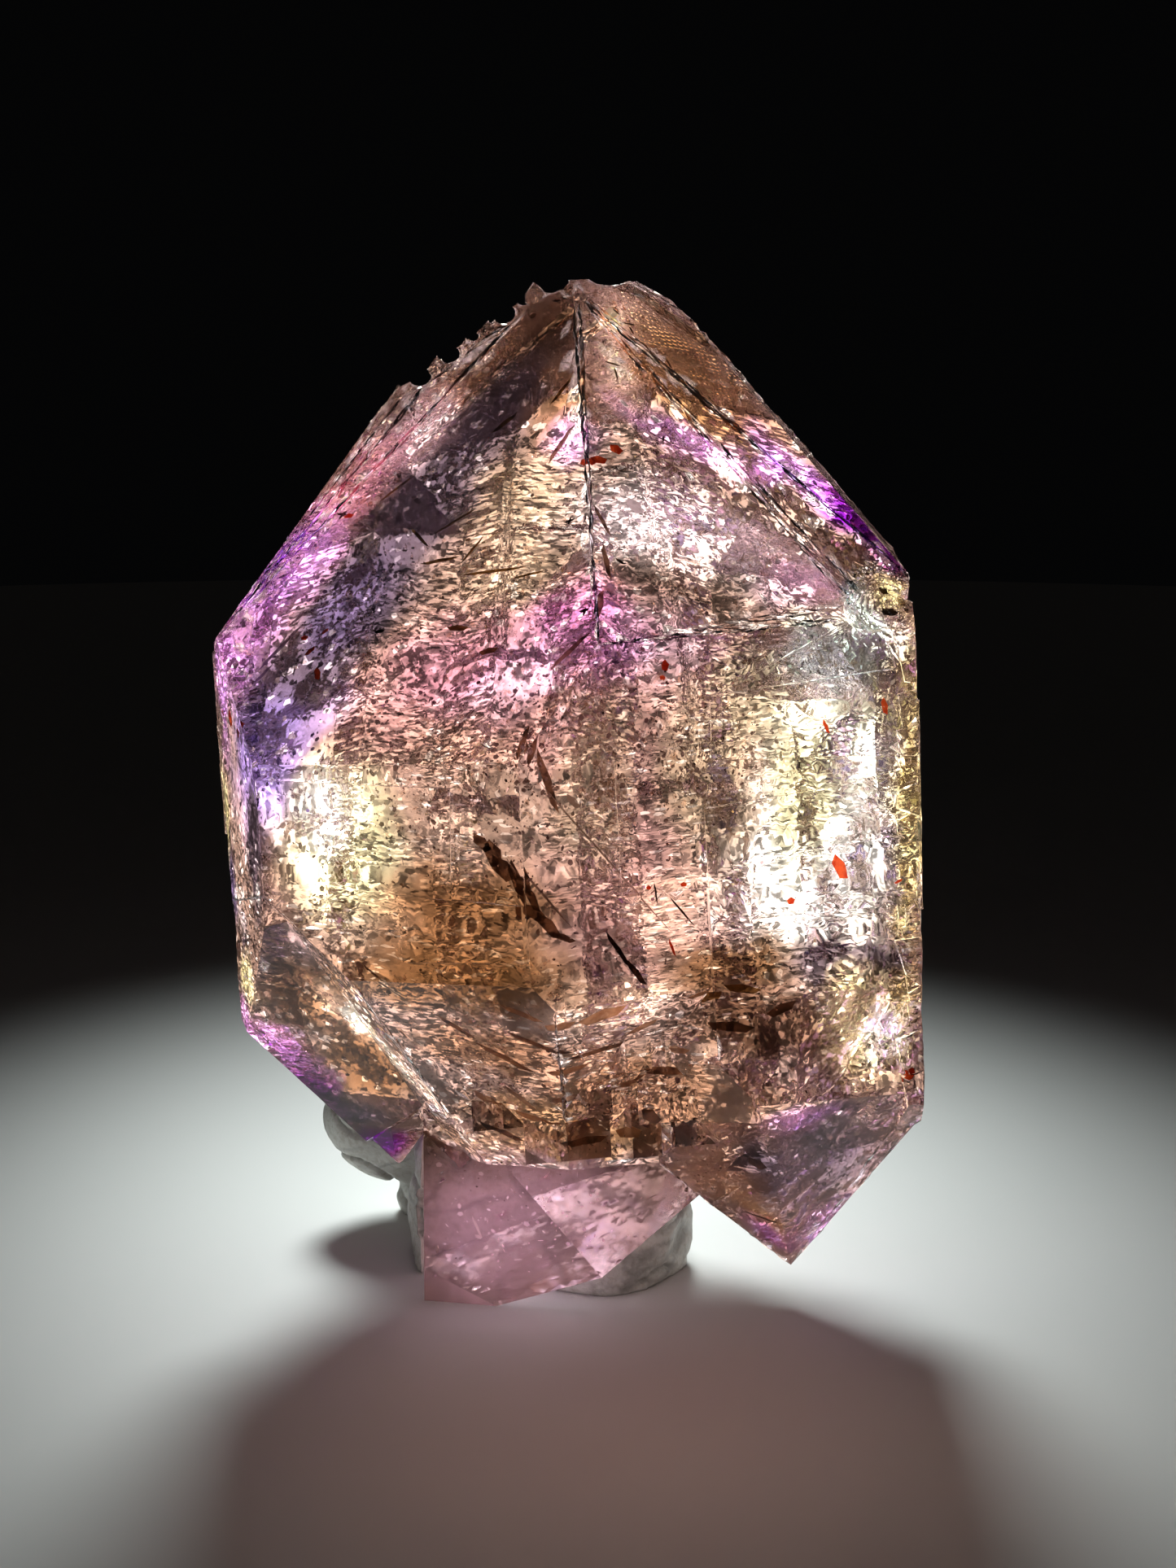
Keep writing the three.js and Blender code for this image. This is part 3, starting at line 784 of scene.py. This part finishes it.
def make_crystal():
    shell = merged_copy("crystal", "amethyst_crystal")
    skin = BVHTree.FromObject(shell, bpy.context.evaluated_depsgraph_get())
    chip, _ = front_point(skin, *CHIP_SEEN)
    lines = striate(shell)
    refine(shell, chip)
    relieve(shell, lines, chip)
    tint(shell, skin)
    etch(shell, skin)
    shell.data.materials.clear()
    shell.data.materials.append(crystal_material())
    pick(shell)
    bpy.ops.object.shade_smooth_by_angle(angle=math.radians(6))
    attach(shell, "root")
    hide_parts("crystal")
    print("crystal triangles", len(shell.data.polygons))
    return shell, skin


# What lies inside the crystal

# Where small flakes lie: the middle and half sizes of each cloud in the photograph, its turn, the nearest and farthest
# depth under the skin in mm, and how many flakes of each kind it has.
FLAKE_CLOUDS = [
    ("pale", 640, 1490, 160, 90, 0, 0.4, 4.5, 160),
    ("pale", 700, 900, 360, 330, 0, 0.25, 1.6, 1300),
    ("pale", 400, 740, 110, 60, -45, 0.25, 1.6, 260),
    ("pale", 1000, 1430, 70, 50, 0, 0.3, 2.0, 120),
    ("pale", 770, 620, 110, 60, 0, 0.5, 6.0, 260),
    ("pale", 860, 930, 150, 80, 0, 0.4, 4.0, 500),
    ("pale", 1040, 900, 80, 70, 0, 0.4, 4.0, 80),
    ("pale", 560, 900, 220, 110, 0, 0.4, 5.0, 500),
    ("pale", 420, 1030, 90, 100, 0, 0.4, 5.0, 300),
    ("pale", 600, 1330, 160, 70, 20, 0.4, 4.0, 300),
    ("sparkling", 700, 820, 330, 240, 0, 0.3, 8.0, 1300),
    ("sparkling", 640, 620, 110, 130, 30, 0.3, 6.0, 300),
    ("sparkling", 480, 680, 80, 220, 33, 0.3, 6.0, 350),
    ("sparkling", 700, 1290, 300, 110, 0, 0.3, 5.0, 500),
    ("sparkling", 390, 1240, 100, 120, 0, 0.3, 5.0, 250),
    ("mirror", 400, 760, 130, 60, -45, 0.3, 6.0, 200),
    ("mirror", 480, 680, 70, 200, 33, 0.3, 6.0, 350),
    ("mirror", 700, 900, 320, 260, 0, 0.3, 8.0, 900),
    ("mirror", 700, 1300, 260, 80, 0, 0.3, 5.0, 300),
    ("mirror", 1000, 1420, 90, 80, 0, 0.4, 4.0, 100),
    ("brown", 860, 900, 120, 90, 0, 0.3, 4.0, 260),
    ("brown", 560, 960, 160, 90, 0, 0.3, 4.0, 180),
    ("brown", 900, 1180, 100, 60, 0, 0.3, 3.0, 220),
    ("brown", 700, 1380, 200, 50, 0, 0.3, 3.0, 260),
    ("brown", 860, 1430, 60, 30, 20, 0.2, 1.0, 90),
    ("brown", 590, 1470, 90, 80, 0, 0.2, 1.0, 24),
]
SCATTERED_FLAKES = {"pale": 120, "sparkling": 700, "mirror": 300, "brown": 120}
FLAKE_SIZES = {"pale": (0.05, 0.2), "sparkling": (0.07, 0.26), "mirror": (0.04, 0.16), "brown": (0.03, 0.1)}
FLAKE_SEEDS = {"pale": 20, "sparkling": 21, "mirror": 23, "brown": 22}


class Inside:
    """Finds places inside the crystal, from what the camera sees or at random."""

    def __init__(self, skin):
        self.skin = skin

    def holds(self, place, clear):
        """Whether a place is inside the crystal and at least clear mm under its skin."""
        near, normal, _, distance = self.skin.find_nearest(place)
        if distance < clear * MM or (place - near).dot(normal) > 0:
            return False
        way = Vector((0.31, 0.17, 0.94)).normalized()
        start = place
        for crossings in range(20):
            hit, _, _, _ = self.skin.ray_cast(start, way)
            if hit is None:
                return crossings % 2 == 1
            start = hit + way * 0.001 * MM
        return False

    def under(self, u, v, deep):
        """The place deep mm inside the crystal that the camera sees at pixel u, v, with the bend at the skin."""
        ray = view_ray(u, v)
        hit, normal, _, _ = self.skin.ray_cast(CAMERA_AT, ray)
        if hit is None:
            return None
        return hit + bent_ray(ray, normal) * deep * MM


def flake_blank():
    """One flake as points and faces: a thin plate with five sides."""
    deselect()
    bpy.ops.mesh.primitive_cylinder_add(vertices=5, radius=1.0, depth=0.12)
    blank = bpy.context.object
    bpy.ops.object.mode_set(mode="EDIT")
    bpy.ops.mesh.select_all(action="SELECT")
    bpy.ops.mesh.quads_convert_to_tris(quad_method="BEAUTY", ngon_method="BEAUTY")
    bpy.ops.object.mode_set(mode="OBJECT")
    points = read_vector(blank.data.vertices, "co")
    corners = np.zeros(len(blank.data.loops), int)
    blank.data.loops.foreach_get("vertex_index", corners)
    bpy.data.objects.remove(blank)
    return points, corners.reshape(-1, 3)


def joined_copies(name, points, faces, places, sizes, turns, material):
    """One mesh of many copies of a shape, each at its place with its size along three axes and its turn."""
    shapes = np.einsum("nij,nkj->nki", turns, points[None] * sizes[:, None, :]) + places[:, None, :]
    corners = faces[None] + np.arange(len(places))[:, None, None] * len(points)
    mesh = bpy.data.meshes.new(name)
    mesh.from_pydata(shapes.reshape(-1, 3), [], corners.reshape(-1, 3))
    mesh.materials.append(material)
    piece = bpy.data.objects.new(name, mesh)
    bpy.context.scene.collection.objects.link(piece)
    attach(piece, "root")
    return piece


def random_turns(draw, count, normal, spread):
    """Turns that point each flake's thin way roughly along normal, strayed by spread, with any spin."""
    aims = normal + draw.normal(0, spread, (count, 3))
    aims /= np.linalg.norm(aims, axis=1, keepdims=True)
    side = np.cross(aims, draw.normal(0, 1, (count, 3)))
    side /= np.linalg.norm(side, axis=1, keepdims=True)
    return np.stack([side, np.cross(aims, side), aims], axis=2)


def flake_material(kind):
    material, nodes, links, surface = new_material(f"{kind} flakes")
    shades = {
        "pale": ((0.74, 0.64, 0.68), (0.94, 0.88, 0.86)),
        "sparkling": ((0.99, 0.97, 0.94), (0.86, 0.74, 0.66)),
        "mirror": ((0.96, 0.90, 0.84), (0.78, 0.66, 0.60)),
        "brown": ((0.03, 0.013, 0.008), (0.12, 0.055, 0.03)),
    }
    roughness = {"pale": 0.9, "sparkling": 0.03, "mirror": 0.12, "brown": 0.5}
    colour, _ = shade(nodes, links, 1.4, *shades[kind])
    links.new(colour, surface.inputs["Base Color"])
    surface.inputs["Roughness"].default_value = roughness[kind]
    if kind == "sparkling":
        surface.inputs["Transmission Weight"].default_value = 1.0
        surface.inputs["IOR"].default_value = 1.5
    if kind == "mirror":
        surface.inputs["Metallic"].default_value = 1.0
    return material


def make_flakes(inside):
    points, faces = flake_blank()
    low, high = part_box("crystal")
    for kind, (smallest, largest) in FLAKE_SIZES.items():
        draw = random.Random(FLAKE_SEEDS[kind])
        places = []
        for wanted, u, v, across, down, turn, nearest, farthest, count in FLAKE_CLOUDS:
            if wanted != kind:
                continue
            spin = math.radians(turn)
            for _ in range(count):
                a = draw.gauss(0, 0.5) * across
                b = draw.gauss(0, 0.5) * down
                place = inside.under(u + a * math.cos(spin) - b * math.sin(spin),
                                     v + a * math.sin(spin) + b * math.cos(spin),
                                     nearest + (farthest - nearest) * draw.random() ** 1.6)
                if place is not None and inside.holds(place, largest):
                    places.append(place)
        for _ in range(SCATTERED_FLAKES[kind]):
            place = Vector([draw.uniform(a, b) for a, b in zip(low, high)])
            if inside.holds(place, largest):
                places.append(place)
        numbers = np.random.default_rng(FLAKE_SEEDS[kind])
        count = len(places)
        size = numbers.uniform(0, 1, (count, 1)) ** 2.5 * (largest - smallest) + smallest
        sizes = size * np.hstack([np.ones((count, 1)), numbers.uniform(0.35, 1, (count, 1)), np.ones((count, 1))])
        turns = random_turns(numbers, count, np.array((0.2, -0.7, 0.4)), 0.7)
        joined_copies(f"{kind}_flakes", points, faces, np.array(places), sizes * MM, turns, flake_material(kind))
        print(kind, count, "flakes", count * len(faces), "triangles")


# Single inclusions, and pale plates among the bright ones that are painted highlights: kind, where the photograph shows
# it, depth under the skin in mm, length and width in pixels, and its turn in degrees, clockwise from lying flat
INCLUSIONS = [
    ("red", 1032, 1066, 0.7, 40, 19, 55),
    ("red", 757, 552, 0.9, 20, 17, 20),
    ("red", 736, 565, 0.9, 24, 14, -15),
    ("red", 718, 568, 1.1, 14, 11, 40),
    ("red", 817, 818, 0.7, 15, 12, 80),
    ("red", 814, 833, 0.8, 9, 7, 10),
    ("red", 1087, 868, 0.6, 24, 10, 75),
    ("red", 972, 1107, 0.6, 13, 10, 0),
    ("red", 1118, 1320, 0.5, 20, 15, -40),
    ("red", 283, 884, 0.6, 26, 18, 60),
    ("red", 292, 901, 0.7, 16, 12, 10),
    ("red", 274, 876, 0.5, 12, 8, 30),
    ("red", 428, 634, 0.8, 18, 8, 15),
    ("red", 381, 800, 0.9, 18, 8, -50),
    ("red", 390, 828, 1.1, 24, 10, 65),
    ("red", 374, 784, 0.8, 12, 8, 10),
    ("red", 399, 776, 0.8, 13, 6, -40),
    ("red", 1015, 893, 0.6, 22, 6, 60),
    ("red", 826, 1165, 0.5, 26, 4, 68),
    ("red", 840, 1087, 0.5, 10, 6, 0),
    ("red", 797, 1091, 0.5, 8, 6, 0),
    ("red", 1104, 1083, 0.4, 14, 4, -20),
    ("dark", 753, 447, 0.4, 24, 3, 2),
    ("dark", 757, 459, 0.4, 24, 3, 98),
    ("dark", 773, 398, 0.4, 18, 3, -8),
    ("dark", 776, 406, 0.4, 15, 3, 80),
    ("dark", 757, 383, 0.4, 13, 3, 60),
    ("dark", 822, 447, 0.4, 18, 3, 80),
    ("dark", 819, 455, 0.4, 12, 3, 10),
    ("dark", 815, 540, 0.5, 15, 3, 20),
    ("dark", 815, 540, 0.5, 13, 3, 105),
    ("dark", 420, 632, 0.4, 18, 4, 25),
    ("dark", 421, 633, 0.4, 16, 4, 110),
    ("dark", 700, 640, 0.4, 16, 3, -10),
    ("dark", 700, 640, 0.4, 15, 3, 85),
    ("dark", 762, 690, 0.4, 14, 5, 40),
    ("dark", 718, 750, 0.4, 15, 5, -5),
    ("dark", 718, 752, 0.4, 14, 4, 85),
    ("dark", 410, 580, 0.4, 14, 4, -60),
    ("dark", 466, 776, 0.5, 16, 6, 20),
    ("dark", 760, 1168, 0.6, 66, 7, 52),
    ("dark", 782, 1196, 0.5, 44, 9, 50),
    ("flaw", 592, 1036, 0.9, 34, 16, 30),
    ("flaw", 606, 1050, 1.0, 40, 26, 55),
    ("flaw", 618, 1068, 0.9, 44, 24, 30),
    ("flaw", 634, 1080, 1.0, 50, 16, 62),
    ("flaw", 645, 1104, 0.9, 46, 14, 50),
    ("flaw", 656, 1122, 1.0, 40, 18, 30),
    ("flaw", 674, 1138, 0.9, 50, 16, 42),
    ("flaw", 692, 1152, 0.9, 40, 9, 20),
    ("flaw", 672, 960, 1.4, 90, 12, 70),
    ("flaw", 654, 920, 1.4, 50, 10, 110),
    ("dark", 838, 1120, 0.5, 58, 3, 46),
    ("dark", 806, 1098, 0.4, 30, 3, 80),
    ("flaw", 690, 545, 1.4, 70, 8, 105),
    ("flaw", 740, 640, 0.3, 54, 6, 86),
    ("flaw", 745, 690, 0.3, 60, 8, 96),
    ("flaw", 737, 742, 0.3, 50, 10, 110),
    ("flaw", 700, 800, 0.5, 70, 8, 124),
    ("dark", 312, 1153, 0.2, 44, 9, 2),
    ("dark", 312, 1166, 0.2, 40, 5, 1),
    ("dark", 312, 1186, 0.2, 36, 4, 2),
    ("flaw", 930, 1430, 0.5, 30, 20, 30),
    ("dark", 935, 1496, 0.2, 50, 3, 2),
    ("dark", 1094, 752, 0.25, 34, 13, 24),
    ("dark", 1086, 726, 0.25, 16, 12, 60),
    ("bright", 1106, 735, 0.2, 20, 8, 80),
    ("bright", 1098, 712, 0.2, 12, 8, 40),
    ("bright", 1056, 726, 0.25, 40, 5, -12),
    ("golden", 540, 689, 1.0, 60, 6, 8),
    ("golden", 606, 702, 1.0, 100, 5, 12),
    ("golden", 562, 772, 0.8, 34, 9, 18),
    ("golden", 600, 800, 0.8, 28, 10, 8),
    ("golden", 560, 640, 1.2, 66, 4, -28),
    ("golden", 580, 676, 1.2, 50, 4, -64),
    ("golden", 650, 706, 1.0, 46, 4, 2),
    ("golden", 515, 660, 1.1, 56, 5, 52),
    ("golden", 488, 600, 1.2, 60, 4, -40),
    ("golden", 690, 480, 1.2, 50, 6, -70),
    ("golden", 620, 520, 1.4, 46, 8, -44),
    ("golden", 912, 1215, 0.6, 60, 12, 12),
    ("golden", 870, 1225, 0.6, 34, 12, -20),
    ("cream", 740, 1248, 0.7, 70, 22, 0),
    ("cream", 690, 1262, 0.7, 50, 16, 12),
    ("cream", 640, 1246, 0.8, 60, 12, 8),
    ("cream", 790, 1262, 0.7, 46, 12, -8),
    ("cream", 620, 1300, 0.8, 90, 12, 22),
    ("cream", 700, 1316, 0.8, 70, 12, 6),
    ("cream", 780, 1330, 0.8, 60, 14, 10),
    ("cream", 600, 1352, 0.8, 50, 18, 34),
    ("cream", 660, 1376, 0.7, 70, 14, 8),
    ("cream", 770, 1392, 0.7, 54, 16, -6),
    ("cream", 830, 1290, 0.7, 44, 10, 0),
    ("cream", 860, 1222, 0.6, 40, 8, 4),
    ("flaw", 660, 1284, 0.7, 90, 10, 8),
    ("flaw", 740, 1290, 0.7, 110, 9, 2),
    ("flaw", 820, 1316, 0.7, 80, 12, 6),
    ("flaw", 700, 1350, 0.7, 100, 12, 4),
    ("flaw", 620, 1392, 0.6, 60, 12, 20),
    ("flaw", 720, 1402, 0.5, 90, 12, -2),
    ("flaw", 800, 1372, 0.6, 50, 18, 20),
    ("flaw", 900, 1262, 0.6, 70, 14, 6),
    ("flaw", 960, 1240, 0.6, 50, 14, -16),
    ("flaw", 560, 1262, 0.8, 60, 9, 34),
    # painted highlights: pale plates just under the skin where the nodules along the upper left edge glint, down to the
    # one at 630, 372
    ("bright", 512, 455, 0.15, 12, 9, 20),
    ("bright", 580, 405, 0.15, 12, 8, -30),
    ("bright", 670, 352, 0.15, 12, 12, 0),
    ("bright", 600, 398, 0.15, 14, 7, -34),
    ("bright", 553, 428, 0.15, 12, 7, -34),
    ("bright", 486, 477, 0.15, 14, 6, -38),
    ("bright", 630, 372, 0.15, 10, 8, -20),
    ("bright", 345, 795, 0.8, 88, 7, 116),
    ("bright", 322, 830, 0.7, 40, 5, 120),
    ("bright", 366, 760, 0.7, 30, 5, 130),
    ("bright", 306, 1135, 0.2, 36, 6, 2),
    ("bright", 308, 1176, 0.2, 34, 5, 3),
    ("bright", 304, 1206, 0.2, 30, 5, 2),
    # painted highlights: the next four are pale plates where the crystal glints
    ("bright", 780, 622, 0.8, 30, 20, 60),
    ("bright", 768, 600, 0.8, 16, 10, 50),
    ("bright", 868, 575, 0.8, 40, 9, 30),
    ("bright", 655, 388, 0.3, 10, 9, 0),
    ("bright", 704, 985, 1.0, 26, 10, 40),
    ("bright", 745, 1055, 1.2, 296, 3, 45),
    ("bright", 668, 1100, 1.2, 320, 3, 43),
    ("bright", 586, 1508, 0.3, 34, 4, 64),
    ("bright", 588, 1520, 0.3, 12, 5, 20),
    ("bright", 1012, 1490, 0.4, 26, 6, 60),
    ("bright", 640, 1350, 1.0, 60, 10, 50),
    ("bright", 470, 1210, 0.8, 120, 4, 38),
    ("bright", 720, 488, 0.2, 8, 6, 90),
]
INCLUSION_SEEDS = {"red": 31, "dark": 32, "golden": 33, "bright": 34, "flaw": 35, "cream": 36}
PLATE = 0.05  # mm, how thick a single inclusion is


def inclusion_material(kind):
    material, nodes, links, surface = new_material(f"{kind} inclusion")
    shades = {
        "red": ((0.62, 0.035, 0.008), (0.95, 0.16, 0.04)),
        "dark": ((0.012, 0.007, 0.005), (0.07, 0.035, 0.02)),
        "golden": ((0.20, 0.10, 0.03), (0.80, 0.52, 0.20)),
        # the bright kind also holds the pale plates that are painted highlights
        "bright": ((0.84, 0.76, 0.72), (1.0, 0.96, 0.92)),
        "cream": ((0.62, 0.40, 0.26), (0.95, 0.76, 0.58)),
        "flaw": ((0.07, 0.036, 0.025), (0.42, 0.27, 0.19)),
    }
    passing = {"red": 0.6, "dark": 0.0, "golden": 0.3, "bright": 0.3, "cream": 0.4, "flaw": 0.8}
    colour, _ = shade(nodes, links, 2.2, *shades[kind])
    links.new(colour, surface.inputs["Base Color"])
    surface.inputs["Roughness"].default_value = 0.4
    surface.inputs["Transmission Weight"].default_value = passing[kind]
    surface.inputs["IOR"].default_value = 1.2
    return material


def make_inclusions(inside):
    points, faces = flake_blank()
    for kind, seed in INCLUSION_SEEDS.items():
        draw = random.Random(seed)
        places = []
        sizes = []
        turns = []
        for wanted, u, v, deep, long, wide, turn in INCLUSIONS:
            if wanted != kind:
                continue
            place = inside.under(u, v, deep)
            if place is None:
                continue
            _, aim = front_point(inside.skin, u, v)
            if aim.dot(view_ray(u, v)) > -0.5:
                aim = -view_ray(u, v)
            spin = math.radians(turn)
            flat = Vector((math.cos(spin), 0, -math.sin(spin)))
            aim = (aim + flat.cross(aim) * draw.uniform(-0.15, 0.15)).normalized()
            side = (flat - aim * flat.dot(aim)).normalized()
            reach = long * PIXEL / 2
            for _ in range(14):
                ends = [place + side * reach * way * MM for way in (-1, 1)]
                if all(inside.holds(end, PLATE) for end in ends):
                    break
                reach *= 0.8
            places.append(place)
            sizes.append((reach, wide * PIXEL / 2, PLATE / 0.12))
            turns.append(np.array((side, aim.cross(side), aim)).T)
        joined_copies(f"{kind}_inclusions", points, faces, np.array(places), np.array(sizes) * MM, np.array(turns),
                      inclusion_material(kind))


# The putty

PUTTY_GRAIN = 0.22  # mm between neighbouring points of its skin
CREASE_DEEP = 0.3  # mm, always inwards
CREASE_WIDE = 0.05
CREASE_SCALE = 0.17  # folds in a mm
DENT_DEEP = 0.28
DENT_SCALE = 0.42
PUTTY_FLOOR = 0.12  # mm above the floor up to which its flat underside stays as it is


def knead(putty):
    """Presses folds and dents into the lump, inwards only, and paints how far each point lies in a crease: the share of
    painted shade there.
    """
    mesh = putty.data
    places = read_vector(mesh.vertices, "co")
    normals = read_vector(mesh.vertex_normals, "vector")
    drawn = places / MM * np.array((1.0, 1.0, 1.7))
    wander = np.array([noise.noise_vector(Vector(place) * 0.2) for place in drawn])
    folds = np.array([noise.noise(Vector(place) * CREASE_SCALE) for place in drawn + wander * 1.6])
    crease = np.exp(-(folds / CREASE_WIDE) ** 2)
    dents = np.array([noise.noise(Vector(place) * DENT_SCALE + Vector((3.1, 0.4, 7.7))) for place in drawn])
    deep = crease * CREASE_DEEP + np.clip(dents + 0.2, 0, 1) * DENT_DEEP
    above = np.clip((places[:, 2] / MM - PUTTY_FLOOR) / 0.4, 0, 1)
    moved = places - normals * (deep * above)[:, None] * MM
    mesh.vertices.foreach_set("co", moved.ravel())
    mesh.update()
    layer = mesh.color_attributes.new("crease_shade_share", "FLOAT_COLOR", "POINT")
    shares = np.stack([crease * above] * 3 + [np.ones(len(places))], axis=1)
    layer.data.foreach_set("color", shares.ravel())


def putty_material():
    material, nodes, links, surface = new_material("grey putty")
    swirl, _ = shade(nodes, links, 0.12, (0.80, 0.79, 0.74), (0.46, 0.45, 0.42), 3.0, 0.46, 0.66)
    # painted shade: the creases are darkened towards a dark grey, by how far each point lies in one
    crease_shade_share = add_node(nodes, "ShaderNodeAttribute", attribute_name="crease_shade_share")
    deep = math_node(nodes, links, "MULTIPLY", crease_shade_share.outputs["Fac"], 0.6)
    putty_with_crease_shade = mix_colour(nodes, links, deep, swirl, (0.24, 0.22, 0.20))
    dust, dusted = shade(nodes, links, 3.0, (1.0, 1.0, 1.0), (0.84, 0.82, 0.78), 0.4, 0.42, 0.7)
    links.new(mix_colour(nodes, links, 1.0, putty_with_crease_shade, dust, "MULTIPLY"), surface.inputs["Base Color"])
    gloss = add_node(nodes, "ShaderNodeMapRange", {"To Min": 0.45, "To Max": 0.7})
    links.new(dusted, gloss.inputs["Value"])
    links.new(gloss.outputs["Result"], surface.inputs["Roughness"])
    bump = add_node(nodes, "ShaderNodeBump", {"Strength": 0.35, "Distance": 0.05 * MM})
    links.new(dusted, bump.inputs["Height"])
    links.new(bump.outputs["Normal"], surface.inputs["Normal"])
    return material


def make_putty():
    putty = merged_copy("putty", "putty_lump")
    even = putty.modifiers.new("even skin", "REMESH")
    even.mode = "VOXEL"
    even.voxel_size = PUTTY_GRAIN * MM
    pick(putty)
    bpy.ops.object.modifier_apply(modifier=even.name)
    knead(putty)
    putty.data.materials.clear()
    putty.data.materials.append(putty_material())
    bpy.ops.object.shade_smooth()
    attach(putty, "root")
    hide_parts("putty")
    print("putty triangles", len(putty.data.polygons) * 2)


make_camera()
make_floor()
make_world()
make_lights()
crystal, crystal_skin = make_crystal()
make_flakes(Inside(crystal_skin))
make_inclusions(Inside(crystal_skin))
make_putty()

scene = bpy.context.scene
scene.view_settings.view_transform = "Standard"
scene.cycles.max_bounces = 16
scene.cycles.transmission_bounces = 14
scene.cycles.glossy_bounces = 12
scene.cycles.transparent_max_bounces = 16
